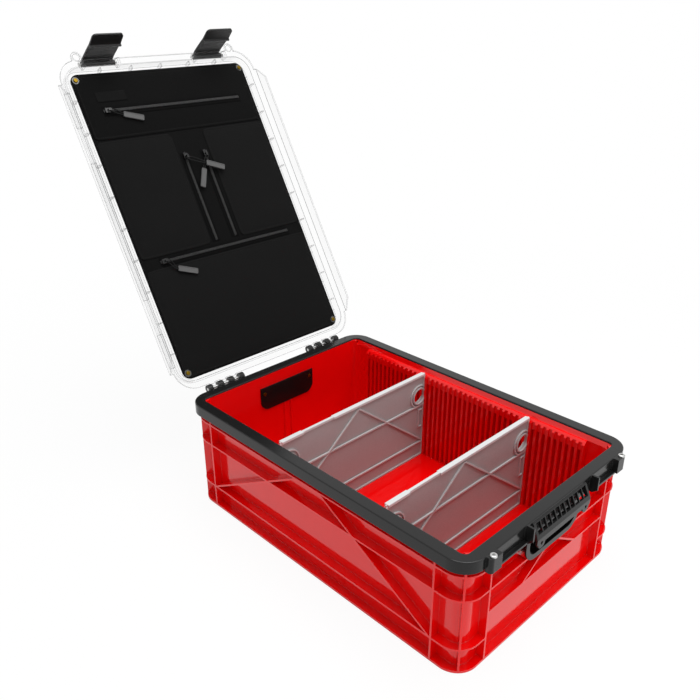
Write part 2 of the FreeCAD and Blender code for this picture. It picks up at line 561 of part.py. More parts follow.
def grip(tag, side):
    """Sloping slotted finger grip with a lip and two lobes, on one end of the rim."""
    def at(out, level):
        return ((rim_y + out) * side, level)
    outer = [at(s.grip_brow_out, s.grip_brow), at(s.grip_knee_out, s.grip_knee),
             at(s.grip_lip_out, s.grip_lip), at(s.grip_lip_out, s.grip_low)]
    inner = [at(s.grip_lip_out - s.grip_skin, s.grip_low),
             at(s.grip_lip_out - s.grip_skin, s.grip_lip - s.sunk),
             at(s.grip_knee_out - s.grip_skin, s.grip_knee - s.sunk)]
    root_high = at(-s.sunk, s.grip_head)
    root_low = at(-s.sunk, s.grip_brow - s.grip_skin * 2)
    shell = side_profile("grip_shell_" + tag, [root_high] + outer + inner + [root_low],
                         -s.grip_half, s.grip_half)
    slots = []
    pairs = int((s.grip_half - s.grip_slot / 2 - s.grip_slot_margin) / s.grip_slot_pitch)
    for k in range(-pairs, pairs + 1):
        mid = s.grip_slot_pitch * k
        reaches = sorted((rim_y * side, (rim_y + s.grip_lip_out + s.overrun) * side))
        slots.append(block("grip_slot_%s_%d" % (tag, k + pairs),
                           (mid - s.grip_slot / 2, reaches[0], s.grip_slot_low),
                           (mid + s.grip_slot / 2, reaches[1], s.grip_slot_high)))
    pieces = [cut("slotted_grip_" + tag, shell, slots)]
    faces = sorted(((rim_y + s.grip_lip_out - s.grip_skin) * side, (rim_y + s.grip_lip_out) * side))
    holes = []
    for across in (-1, 1):
        middle = (s.lobe_x * across, faces[0], s.grip_low)
        pieces.append(rod("lobe_%s_%d" % (tag, across + 1), s.lobe_radius, middle, s.grip_skin, "y"))
        holes.append(rod("lobe_hole_%s_%d" % (tag, across + 1), s.lobe_hole / 2,
                         (middle[0], faces[0] - s.overrun, s.grip_low),
                         s.grip_skin + s.overrun * 2, "y"))
        cheek_x = sorted((s.grip_half * across, (s.grip_half - s.grip_cheek) * across))
        pieces.append(side_profile("grip_cheek_%s_%d" % (tag, across + 1),
                                   [root_high] + outer[:3] + [inner[1], at(-s.sunk, rim_low)],
                                   cheek_x[0], cheek_x[1]))
    return cut("grip_" + tag, fuse("grip_raw_" + tag, pieces), holes)


rim.append(grip("front", -1))
rim.append(grip("rear", 1))
knuckle_holes = []
for side in (-1, 1):
    tag = "left" if side < 0 else "right"
    for k in range(int(s.rim_knuckles)):
        mid = (s.hinge_first_x + s.hinge_pitch * k) * side
        name = "rim_knuckle_%s_%d" % (tag, k)
        start = mid - s.rim_knuckle / 2
        rim.append(rod(name, s.knuckle_radius, (start, s.hinge_y, s.hinge_z), s.rim_knuckle, "x"))
        rim.append(block(name + "_web", (start, rim_y - s.sunk, s.knuckle_web_low),
                         (mid + s.rim_knuckle / 2, s.hinge_y, s.rim_top - s.rim_edge)))
    knuckle_holes.append(rod("rim_knuckle_bore_" + tag, s.pin / 2 + s.running_fit,
                             ((s.hinge_first_x - s.rim_knuckle) * side
                              if side > 0 else -s.hinge_first_x - s.hinge_pitch * s.rim_knuckles,
                              s.hinge_y, s.hinge_z),
                             s.hinge_pitch * s.rim_knuckles + s.rim_knuckle, "x"))
finish("rim_frame", cut("rim", fuse("rim_raw", rim), lug_cuts + knuckle_holes))

# Button-head screws in the two front lugs.
lug_screws = []
for side in (-1, 1):
    tag = "left" if side < 0 else "right"
    spot = (s.lug_screw_x * side, -s.lug_screw_y)
    head = rod("lug_head_" + tag, s.lug_head / 2, spot + (s.rim_top,), s.lug_head_tall)
    round_head = softened("lug_dome_" + tag, head, s.lug_head_tall / 2,
                          lambda edge: edge.BoundBox.ZMin > s.rim_top + s.lug_head_tall / 2
                          and edge.BoundBox.ZLength < s.sunk)
    shank = rod("lug_shank_" + tag, s.lug_shank / 2, spot + (s.rim_top - s.lug_screw_long,),
                s.lug_screw_long + s.sunk)
    socket = doc.addObject("Part::Prism", "lug_socket_" + tag)
    socket.Polygon = 6
    bind(socket, Circumradius=s.lug_socket / 2, Height=s.lug_socket_deep + s.overrun)
    place(socket, spot[0], spot[1], s.rim_top + s.lug_head_tall - s.lug_socket_deep)
    lug_screws.append(cut("lug_screw_" + tag, fuse("lug_blank_" + tag, [round_head, shank]), [socket]))
finish("lug_screws", fuse("both_lug_screws", lug_screws))

# Hand-hole plugs: a cup with an outer band, closed by a plate on the inside of the end wall.
plug_screws = []
for side in (-1, 1):
    tag = "front" if side < 0 else "rear"

    def span(near, far):
        return (-far, -near) if side < 0 else (near, far)
    wall_in = cavity_y
    band = end_slab("plug_band_" + tag, s.plug_half, s.plug_low, s.plug_high, s.plug_corner,
                    *span(plug_out - s.plug_plate, plug_out))
    sleeve = end_slab("plug_sleeve_" + tag, plug_hole_half - s.body_gap, plug_hole_low + s.body_gap,
                      s.plug_back_high - s.overrun - s.body_gap, plug_hole_corner - s.body_gap,
                      *span(wall_in - s.plug_back / 2, plug_out - s.plug_plate / 2))
    mouth = end_slab("plug_mouth_" + tag, s.plug_half - s.plug_band, s.plug_low + s.plug_band,
                     s.plug_back_high - s.overrun - s.body_gap - s.plug_wall,
                     s.plug_corner - s.plug_band, *span(wall_in, plug_out + s.overrun))
    back = end_slab("plug_back_" + tag, s.plug_back_half, s.plug_back_low, s.plug_back_high,
                    s.plug_back_corner, *span(wall_in - s.plug_back, wall_in))
    upper = block("plug_upper_" + tag,
                  (-s.plug_back_half, span(wall_in - s.plug_back, wall_in)[0],
                   s.plug_back_high - s.plug_back_corner - s.overrun),
                  (s.plug_back_half, span(wall_in - s.plug_back, wall_in)[1], s.plug_back_high))
    bosses = []
    for across in (-1, 1):
        bosses.append(rod("plug_boss_%s_%d" % (tag, across + 1), s.plug_boss / 2,
                          (s.plug_screw_x * across, span(wall_in - s.sunk, wall_in + s.plug_screw_long)[0],
                           s.plug_screw_z), s.plug_screw_long + s.sunk, "y"))
    notches = []
    notch_x = s.plug_back_half * s.notch_share
    for k in (-1, 0, 1):
        ends = span(wall_in - s.plug_back - s.overrun, wall_in - s.plug_back / 2)
        notches.append(block("plug_notch_%s_%d" % (tag, k + 1),
                             (notch_x * k - s.notch_width / 2, ends[0],
                              s.plug_back_high - s.notch_deep),
                             (notch_x * k + s.notch_width / 2, ends[1],
                              s.plug_back_high + s.overrun)))
    for across in (-1, 1):
        name = "%s_%d" % (tag, across + 1)
        ends = span(wall_in - s.plug_back - s.overrun, wall_in - s.plug_back + s.plug_screw_long)
        notches.append(rod("plug_screw_hole_" + name, s.plug_shank / 2 + s.running_fit,
                           (s.plug_screw_x * across, ends[0], s.plug_screw_z),
                           s.plug_screw_long + s.overrun, "y"))
        face = wall_in - s.plug_back
        shank_ends = span(face - s.sunk, face + s.plug_screw_long)
        head_ends = span(face - s.plug_head_tall, face)
        plug_screws.append(fuse("plug_screw_" + name, [
            rod("plug_head_" + name, s.plug_head / 2,
                (s.plug_screw_x * across, head_ends[0], s.plug_screw_z), s.plug_head_tall, "y"),
            rod("plug_shank_" + name, s.plug_shank / 2,
                (s.plug_screw_x * across, shank_ends[0], s.plug_screw_z),
                s.plug_screw_long + s.sunk, "y")]))
    cup = cut("plug_cup_" + tag, fuse("plug_blank_" + tag, [band, sleeve]), [mouth])
    finish(tag + "_hand_plug",
           cut("plug_" + tag, fuse("plug_raw_" + tag, [cup, back, upper] + bosses), notches))
finish("plug_screws", fuse("all_plug_screws", plug_screws))

# Hinge pins, one through each set of knuckles.
knuckle_run = s.hinge_pitch * (s.rim_knuckles - 1) + s.rim_knuckle
for side in (-1, 1):
    tag = "left" if side < 0 else "right"
    first = s.hinge_first_x - s.rim_knuckle / 2
    start = -first - knuckle_run if side < 0 else first
    finish("hinge_pin_" + tag,
           rod("pin_" + tag, s.pin / 2, (start, s.hinge_y, s.hinge_z), knuckle_run, "x"))

# Lid shell: a shallow clear tray with a flange, stacking rails and hanging side skirts.
lid_low = s.rim_top + s.lid_gap
lid_high = lid_low + s.lid_plate
inner_x = s.tray_x - s.tray_wall
inner_y = s.tray_y - s.tray_wall
tray_block = slab("tray_block", s.tray_x, s.tray_y, s.tray_corner, lid_low, s.tray_top)
soft_tray = softened("soft_tray", tray_block, s.tray_edge,
                     lambda edge: edge.BoundBox.ZMin > s.tray_top - s.sunk)
lid_flange = slab("lid_flange", rim_x, rim_y, s.lid_corner, lid_low, lid_high)
lid = [soft_tray, lid_flange]
for side in (-1, 1):
    tag = "left" if side < 0 else "right"
    edge_x = sorted((s.skirt_out * side, (s.skirt_out - s.skirt) * side))
    top_from = s.skirt_shift - s.skirt_half
    top_to = s.skirt_shift + s.skirt_half
    lid.append(side_profile("skirt_" + tag,
                            [(top_from, lid_high), (top_from, lid_low),
                             (top_from + s.skirt_chamfer, s.skirt_low),
                             (top_to - s.skirt_chamfer, s.skirt_low), (top_to, lid_low),
                             (top_to, lid_high)], edge_x[0], edge_x[1]))
    shelf_x = sorted(((rim_x - s.sunk) * side, s.skirt_out * side))
    lid.append(block("skirt_shelf_" + tag, (shelf_x[0], top_from, lid_low),
                     (shelf_x[1], top_to, lid_high)))
    rail_x = sorted((s.tray_x * side, (s.tray_x - s.rail_width) * side))
    stops = (-s.rail_half, -s.rail_gap_at - s.rail_gap / 2, s.rail_gap / 2 - s.rail_gap_at,
             s.rail_gap_at - s.rail_gap / 2, s.rail_gap_at + s.rail_gap / 2, s.rail_half)
    for k in range(0, len(stops), 2):
        lid.append(block("rail_%s_%d" % (tag, k // 2),
                         (rail_x[0], stops[k], s.tray_top - s.tray_skin),
                         (rail_x[1], stops[k + 1], s.rail_top)))
    lug_spot = (s.lug_screw_x * side, -s.lug_screw_y, lid_low)
    lid.append(rod("lid_lug_" + tag, s.lid_lug_radius, lug_spot, s.lid_plate))
    lid.append(block("lid_lug_root_" + tag,
                     (s.lug_screw_x * side - s.lid_lug_radius, -s.lug_screw_y, lid_low),
                     (s.lug_screw_x * side + s.lid_lug_radius, s.overrun - rim_y, lid_high)))
    for k in range(int(s.rim_knuckles) - 1):
        mid = (s.hinge_first_x + s.hinge_pitch / 2 + s.hinge_pitch * k) * side
        name = "lid_knuckle_%s_%d" % (tag, k)
        lid.append(rod(name, s.lid_knuckle_radius, (mid - s.lid_knuckle / 2, s.hinge_y, s.hinge_z),
                       s.lid_knuckle, "x"))
        lid.append(block(name + "_web", (mid - s.lid_knuckle / 2, rim_y - s.overrun, lid_low),
                         (mid + s.lid_knuckle / 2, s.hinge_y, lid_high)))
    for cheek in (-1, 1):
        face = s.latch_x * side + (s.latch_barrel / 2 + s.latch_side_gap + s.latch_cheek / 2) * cheek
        lid.append(side_profile("latch_cheek_%s_%d" % (tag, cheek + 1),
                                [(s.sunk - s.tray_y, lid_high - s.sunk),
                                 (s.lid_plate - s.cheek_out, lid_high - s.sunk),
                                 (-s.cheek_out, s.latch_pivot_z),
                                 (s.cheek_slope - s.cheek_out, s.cheek_top),
                                 (s.sunk - s.tray_y, s.tray_top - s.tray_skin)],
                                face - s.latch_cheek / 2, face + s.latch_cheek / 2))
tray_hollow = slab("tray_hollow", inner_x, inner_y, s.tray_corner - s.tray_wall,
                   lid_low - s.overrun, s.tray_top - s.tray_skin)
lid_cuts = [tray_hollow]
for side in (-1, 1):
    tag = "left" if side < 0 else "right"
    lid_cuts.append(rod("lid_lug_hole_" + tag, s.lid_lug_hole / 2,
                        (s.lug_screw_x * side, -s.lug_screw_y, lid_low - s.overrun),
                        s.lid_plate + s.overrun * 2))
    first = s.hinge_first_x - s.rim_knuckle
    run = knuckle_run + s.rim_knuckle
    lid_cuts.append(rod("lid_bore_" + tag, s.pin / 2 + s.running_fit,
                        (-first - run if side < 0 else first, s.hinge_y, s.hinge_z), run, "x"))
    reach = s.latch_barrel / 2 + s.latch_side_gap + s.latch_cheek
    lid_cuts.append(rod("latch_bore_" + tag, s.latch_pin / 2 + s.running_fit,
                        (s.latch_x * side - reach - s.overrun, -s.latch_pivot_y, s.latch_pivot_z),
                        reach * 2 + s.overrun * 2, "x"))
shell = [cut("lid_hollowed", fuse("lid_raw", lid), lid_cuts)]
tray_roof = s.tray_top - s.tray_skin
side_gussets = int((inner_y - s.gusset_margin) / s.gusset_pitch)
end_gussets = int((inner_x - s.gusset_margin) / s.gusset_end_pitch)
for k in range(-side_gussets, side_gussets + 1):
    for side in (-1, 1):
        faces = sorted(((inner_x + s.sunk) * side, (inner_x - s.gusset_reach) * side))
        shell.append(block("gusset_%d_%d" % (k + side_gussets, side + 1),
                           (faces[0], s.gusset_pitch * k - s.gusset / 2, s.gusset_low),
                           (faces[1], s.gusset_pitch * k + s.gusset / 2, tray_roof + s.sunk)))
for k in range(-end_gussets, end_gussets + 1):
    shell.append(block("front_gusset_%d" % (k + end_gussets),
                       (s.gusset_end_pitch * k - s.gusset / 2, -inner_y - s.sunk, s.gusset_low),
                       (s.gusset_end_pitch * k + s.gusset / 2, s.gusset_reach - inner_y,
                        tray_roof + s.sunk)))
board_back = s.board_face + s.board
corner_spots = [(s.board_screw_x * side, y) for side in (-1, 1)
                for y in (-s.board_screw_front, s.board_screw_rear)]
boss_holes = []
for k, (x, y) in enumerate(corner_spots):
    shell.append(rod("boss_%d" % k, s.boss_radius, (x, y, board_back),
                     tray_roof - board_back + s.sunk))
    boss_holes.append(rod("boss_hole_%d" % k, s.board_shank / 2 + s.running_fit,
                          (x, y, board_back - s.overrun),
                          s.board_screw_long - s.board + s.overrun + s.sunk))
finish("lid_shell", cut("lid", fuse("lid_filled", shell), boss_holes), True)

# Swing latches: a bent plate with a hook and a paddle, on a barrel between the lid's cheeks.
pivot_out = s.latch_pivot_y


def latch_point(out, level):
    return (-pivot_out - out, level)


front_run = [latch_point(s.latch_shoulder_out, s.latch_shoulder),
             latch_point(s.latch_neck_out, s.latch_neck),
             latch_point(s.latch_waist_out, s.latch_waist),
             latch_point(s.latch_heel_out, s.latch_heel),
             latch_point(s.latch_blade_out, s.latch_blade),
             latch_point(s.latch_tip_out, s.latch_tip)]
back_run = [latch_point(s.latch_tip_out - s.latch_tip_skin, s.latch_tip),
            latch_point(s.latch_blade_out - s.latch_skin, s.latch_blade),
            latch_point(s.latch_heel_out - s.latch_skin, s.hook_low),
            latch_point(s.latch_waist_out - s.latch_skin, s.latch_waist),
            latch_point(s.latch_neck_out - s.latch_skin, s.latch_neck),
            latch_point(s.latch_shoulder_out - s.latch_shoulder_skin, s.latch_pivot_z - s.latch_root)]
plate_outline = ([latch_point(-s.sunk, s.latch_pivot_z + s.latch_barrel_radius - s.sunk),
                  latch_point(s.latch_brow_out, s.latch_pivot_z + s.latch_brow_up)]
                 + front_run + back_run
                 + [latch_point(s.sunk * 2, s.latch_pivot_z - s.latch_barrel_radius + s.sunk)])
hook_outline = [latch_point(s.latch_heel_out - s.latch_skin / 2, s.hook_low - s.sunk),
                latch_point(s.hook_out, s.hook_low), latch_point(s.hook_out, s.hook_high),
                latch_point(s.latch_waist_out - s.latch_skin / 2, s.hook_back)]
for side in (-1, 1):
    tag = "left" if side < 0 else "right"
    latch_body = doc.addObject("PartDesign::Body", "latch_body_" + tag)
    side_plane = [f for f in latch_body.Origin.OriginFeatures if f.Role == "YZ_Plane"][0]
    for name, outline, width in (("plate", plate_outline, s.latch_width),
                                 ("hook", hook_outline, s.latch_ridge)):
        sketch = latch_body.newObject("Sketcher::SketchObject", "%s_%s" % (name, tag))
        sketch.AttachmentSupport = [(side_plane, "")]
        sketch.MapMode = "FlatFace"
        polygon_outline(sketch, outline)
        pad = latch_body.newObject("PartDesign::Pad", "%s_pad_%s" % (name, tag))
        pad.Profile = sketch
        pad.SideType = "Symmetric"
        bind(pad, Length=width)
    for name, radius, kind, width in (
            ("barrel", s.latch_barrel_radius, "PartDesign::Pad", s.latch_barrel),
            ("bore", s.latch_pin / 2 + s.running_fit, "PartDesign::Pocket",
             s.latch_barrel + s.overrun)):
        sketch = latch_body.newObject("Sketcher::SketchObject", "%s_%s" % (name, tag))
        sketch.AttachmentSupport = [(side_plane, "")]
        sketch.MapMode = "FlatFace"
        middle = vec(-s.latch_pivot_y, s.latch_pivot_z, 0)
        sketch.addGeometry(Part.Circle(middle, UP, float(radius)), False)
        drive(sketch, Sketcher.Constraint("Radius", 0, float(radius)), "size", radius)
        feature = latch_body.newObject(kind, "%s_feature_%s" % (name, tag))
        feature.Profile = sketch
        feature.SideType = "Symmetric"
        bind(feature, Length=width)
    doc.recompute()
    corners = ["Edge%d" % k for k, edge in enumerate(latch_body.Shape.Edges, 1)
               if edge.BoundBox.XLength < s.sunk
               and edge.BoundBox.ZMax < s.latch_tip + s.sunk]
    square_latch = latch_body.Tip
    fillet = latch_body.newObject("PartDesign::Fillet", "paddle_corners_" + tag)
    fillet.Base = (square_latch, corners)
    bind(fillet, Radius=s.latch_corner)
    latch_body.Placement = FreeCAD.Placement(vec(s.latch_x * side, 0, 0), FreeCAD.Rotation())
    finish("latch_" + tag, latch_body, True)
    reach = s.latch_barrel / 2 + s.latch_side_gap + s.latch_cheek
    pin = rod("latch_pin_rod_" + tag, s.latch_pin / 2,
              (s.latch_x * side - reach, -s.latch_pivot_y, s.latch_pivot_z), reach * 2, "x")
    outer_face = s.latch_x + reach
    head = rod("latch_pin_head_" + tag, s.latch_pin_head / 2,
               (outer_face if side > 0 else -outer_face - s.latch_pin_head_tall,
                -s.latch_pivot_y, s.latch_pivot_z), s.latch_pin_head_tall, "x")
    finish("latch_pin_" + tag, fuse("latch_pin_solid_" + tag, [pin, head]), True)

# Dividers: ribbed boards that slide down into a pair of wall slots.
for tag, mid in (("front", -s.slot_pitch * s.divider_front_slots),
                 ("rear", s.slot_pitch * s.divider_rear_slots)):

    def across(name, half_thick, x_low, z_low, x_high, z_high):
        return block(name + "_" + tag, (x_low, mid - half_thick, z_low),
                     (x_high, mid + half_thick, z_high))
    half = s.divider_half
    rib_half = s.divider_rib / 2
    pieces = [across("web", s.divider_web / 2, -half, s.divider_low, half, s.divider_top - s.sunk),
              across("foot", s.divider_foot / 2, -s.divider_flange_half, s.divider_low,
                     s.divider_flange_half, s.divider_low + s.divider_rib_tall)]
    for level, name in ((s.divider_rib_mid, "mid_rib"), (s.divider_rib_low, "low_rib")):
        pieces.append(across(name, rib_half, -s.divider_flange_half, level - s.divider_rib_tall / 2,
                             s.divider_flange_half, level + s.divider_rib_tall / 2))
    flange_low_z = s.divider_top - s.divider_flange_tall
    waist_from, waist_to = -s.divider_waist_far, -s.divider_waist_near
    runs = ((-s.divider_flange_half, waist_from, s.divider_flange, "left"),
            (waist_from - s.sunk, waist_to + s.sunk, s.divider_waist, "waist"),
            (waist_to, s.divider_flange_half, s.divider_flange, "right"))
    for begin, end, wide, name in runs:
        pieces.append(across("flange_" + name, wide / 2, begin, flange_low_z, end, s.divider_top))
    holes = []
    for side in (-1, 1):
        name = "%s_%d" % (tag, side + 1)
        edges = sorted((half * side, (half - s.divider_edge) * side))
        pieces.append(across("edge_%d" % (side + 1), s.divider_guide / 2, edges[0], s.divider_low,
                             edges[1], flange_low_z))
        pieces.append(end_profile("divider_truss_" + name,
                                  bar((s.sunk * side, s.divider_truss_head),
                                      ((half - s.divider_edge) * side, s.divider_truss_foot), s.rib),
                                  mid - rib_half, mid + rib_half))
        spot = (s.finger_x * side, mid - rib_half, s.finger_z)
        boss = rod("finger_boss_" + name, s.finger_ring / 2, spot, s.divider_rib, "y")
        groove = rod("finger_groove_" + name, s.finger_groove / 2, spot, s.divider_rib, "y")
        collar = rod("finger_collar_" + name, s.finger_collar / 2,
                     (s.finger_x * side, mid - s.divider_flange / 2, s.finger_z), s.divider_flange, "y")
        ring = fuse("finger_ring_" + name, [cut("finger_bead_" + name, boss, [groove]), collar])
        trim = across("finger_trim_%d" % (side + 1), s.divider_rib, -s.divider_flange_half,
                      s.divider_low, s.divider_flange_half, flange_low_z)
        pieces.append(common("finger_rim_" + name, ring, trim))
        holes.append(rod("finger_hole_" + name, s.finger_hole / 2,
                         (s.finger_x * side, mid - s.divider_rib - s.overrun, s.finger_z),
                         s.divider_rib * 2 + s.overrun * 2, "y"))
        wide, tall = s.frame_wide / 2, s.frame_tall / 2
        frame_x = s.frame_x * side
        outer = across("frame_%d" % (side + 1), rib_half, frame_x - wide, s.frame_z - tall,
                       frame_x + wide, s.frame_z + tall)
        inner = across("frame_inner_%d" % (side + 1), s.divider_rib, frame_x - wide + s.frame_bar,
                       s.frame_z - tall + s.frame_bar, frame_x + wide - s.frame_bar,
                       s.frame_z + tall - s.frame_bar)
        pieces.append(cut("frame_ring_" + name, outer, [inner]))
    finish("divider_" + tag, cut("divider_solid_" + tag, fuse("divider_raw_" + tag, pieces), holes))

# Organiser board with its corner screws and washers, held to the bosses of the lid.
board_half_y = (s.board_rear + s.board_front) / 2
board_mid = (s.board_rear - s.board_front) / 2
board_plate = slab("board_plate", s.board_half, board_half_y, s.board_corner, s.board_face,
                   board_back, 0, board_mid)
board_holes = [rod("board_hole_%d" % k, s.board_shank / 2 + s.running_fit,
                   (x, y, s.board_face - s.overrun), s.board + s.overrun * 2)
               for k, (x, y) in enumerate(corner_spots)]
finish("organiser_board", cut("board", board_plate, board_holes), True)
washers, screws = [], []
for k, (x, y) in enumerate(corner_spots):
    disc = rod("washer_disc_%d" % k, s.washer / 2, (x, y, s.board_face - s.washer_tall), s.washer_tall)
    hole = rod("washer_hole_%d" % k, s.board_shank / 2 + s.running_fit,
               (x, y, s.board_face - s.washer_tall - s.overrun), s.washer_tall + s.overrun * 2)
    washers.append(cut("washer_%d" % k, disc, [hole]))
    head_low = s.board_face - s.washer_tall - s.board_head_tall
    head = rod("board_head_%d" % k, s.board_head / 2, (x, y, head_low), s.board_head_tall)
    dome = softened("board_dome_%d" % k, head, s.board_head_tall / 2,
                    lambda edge: edge.BoundBox.ZMax < head_low + s.board_head_tall / 2
                    and edge.BoundBox.ZLength < s.sunk)
    shank = rod("board_shank_%d" % k, s.board_shank / 2,
                (x, y, s.board_face - s.washer_tall - s.sunk),
                s.board_screw_long + s.washer_tall + s.sunk)
    screws.append(fuse("board_screw_%d" % k, [dome, shank]))
finish("board_washers", fuse("all_washers", washers), True)
finish("board_screws", fuse("all_board_screws", screws), True)

# Pockets: padded panels on the face of the board, one after the other from front to rear.
top_from = s.pocket_margin - s.board_front
top_to = top_from + s.top_pocket_long
mid_from = top_to + s.pocket_seam
mid_to = mid_from + s.mid_pocket_long
bottom_from = mid_to + s.zip_strip
bottom_to = s.board_rear - s.pocket_margin
pocket_plans = (
    ("pocket_top", -s.pocket_half, s.pocket_half, top_from, top_to, s.pocket_top_deep),
    ("pocket_left", -s.pocket_half, -s.pocket_left_inner, mid_from, mid_to, s.pocket_mid_deep),
    ("pocket_right", s.pocket_right_inner, s.pocket_half, mid_from, mid_to, s.pocket_mid_deep),
    ("pocket_bottom", -s.pocket_half, s.pocket_half, bottom_from, bottom_to, s.pocket_bottom_deep),
)
screw_room = s.washer / 2 + s.overrun
for name, from_x, to_x, from_y, to_y, deep in pocket_plans:
    panel = slab(name + "_panel", (to_x - from_x) / 2, (to_y - from_y) / 2, s.pocket_corner,
                 s.board_face - deep, s.board_face, (to_x + from_x) / 2, (to_y + from_y) / 2)
    rooms = [rod("%s_room_%d" % (name, k), screw_room, (x, y, s.board_face - deep - s.overrun),
                 deep + s.overrun * 2)
             for k, (x, y) in enumerate(corner_spots)
             if from_y - screw_room < y < to_y + screw_room]
    finish(name, cut(name + "_solid", panel, rooms) if rooms else panel, True)

# Bare patch on the top pocket.
top_face = s.board_face - s.pocket_top_deep
patch_low = top_from + s.patch_in
patch = slab("patch", (s.patch_far - s.patch_near) / 2, s.patch_tall / 2, s.patch_corner,
             top_face - s.patch_thick, top_face, -(s.patch_far + s.patch_near) / 2,
             patch_low + s.patch_tall / 2)
finish("blank_patch", patch, True)


def curved_run(points):
    """Path through points: straight runs joined by tangent arcs; also returns the arc radii."""
    spots = [vec(*p) for p in points]
    edges, radii = [], []
    begin = spots[0]
    for before, corner, after in zip(spots, spots[1:], spots[2:]):
        into = (before - corner).normalize()
        away = (after - corner).normalize()
        half_turn = (math.pi - into.getAngle(away)) / 2
        room = min((before - corner).Length, (after - corner).Length) * s.arc_run_share
        enter, leave = corner + into * room, corner + away * room
        radius = room / math.tan(half_turn)
        crown = corner + (into + away).normalize() * (radius / math.cos(half_turn) - radius)
        edges.append(Part.LineSegment(begin, enter).toShape())
        edges.append(Part.Arc(enter, crown, leave).toShape())
        radii.append(radius)
        begin = leave
    edges.append(Part.LineSegment(begin, spots[-1]).toShape())
    return Part.Wire(edges), radii


# Zips: taped chain, slider with an arched bail, pull tab and looped pull cord for each pocket.
# A slider rides just over its chain. The left pull stands lower, so that the pulls can pass.
zip_top_y = top_from + s.zip_top_in
zip_low_y = mid_to + s.zip_low_in
side_from = mid_from + s.zip_side_in
side_to = mid_to - s.zip_side_short
zip_plans = (
    ("top", "x", zip_top_y, -s.zip_half, s.zip_half, top_face,
     s.tab_top_ahead, s.tab_top_aside, s.tab_top_turn, s.pull_level_top, 0),
    ("left", "y", -s.zip_left_x, side_from, side_to, s.board_face,
     s.tab_left_ahead, s.tab_left_aside, s.tab_left_turn, s.pull_level_under, s.bail_stand),
    ("right", "y", s.zip_right_x, side_from, side_to, s.board_face,
     s.tab_right_ahead, s.tab_right_aside, s.tab_right_turn, s.pull_level, 0),
    ("bottom", "x", zip_low_y, -s.zip_half, s.zip_half, s.board_face,
     s.tab_low_ahead, s.tab_low_aside, s.tab_low_turn, s.pull_level, 0),
)
# Cords with the lid closed: out of the tab's end, round the bail's front foot and back again.
CORD_ROUTES = {
    "top": [
        (-107.5, -187.6, 186.5), (-112.0, -188.6, 185.9), (-120.5, -191.3, 184.6),
        (-126.0, -194.0, 183.5), (-129.2, -195.6, 183.3), (-130.0, -197.4, 183.3),
        (-129.2, -199.2, 183.3), (-127.4, -200.0, 183.3), (-124.0, -198.8, 183.5),
        (-118.3, -196.7, 184.6), (-111.0, -191.7, 185.8), (-106.7, -190.0, 186.5)],
    "left": [
        (12.7, -82.5, 183.2), (6.8, -84.6, 183.3), (-2.5, -87.6, 183.3), (-12.0, -91.5, 183.4),
        (-17.5, -94.3, 183.5), (-20.7, -95.9, 183.5), (-21.4, -97.8, 183.5),
        (-20.6, -99.6, 183.5), (-18.7, -100.3, 183.5), (-15.4, -99.0, 183.5),
        (-9.7, -96.9, 183.4), (-0.3, -92.5, 183.3), (8.1, -87.5, 183.3), (13.7, -84.8, 183.2)],
    "right": [
        (5.7, -75.4, 186.5), (7.5, -79.7, 186.5), (11.6, -86.5, 186.6), (15.3, -92.2, 186.6),
        (19.0, -97.0, 186.7), (21.2, -99.9, 186.7), (23.1, -100.2, 186.7), (24.8, -99.1, 186.7),
        (25.1, -97.2, 186.7), (23.3, -94.1, 186.7), (20.1, -88.9, 186.6), (16.0, -83.4, 186.6),
        (10.4, -78.3, 186.5), (8.0, -74.3, 186.5)],
    "bottom": [
        (-115.0, 85.9, 186.5), (-119.4, 84.5, 186.5), (-124.5, 76.0, 186.6),
        (-127.9, 70.9, 186.7), (-129.9, 67.9, 186.7), (-129.6, 66.0, 186.7),
        (-128.0, 64.8, 186.7), (-126.1, 65.1, 186.7), (-123.8, 67.8, 186.7),
        (-119.9, 72.5, 186.6), (-118.2, 81.5, 186.5), (-114.0, 83.6, 186.5)],
}
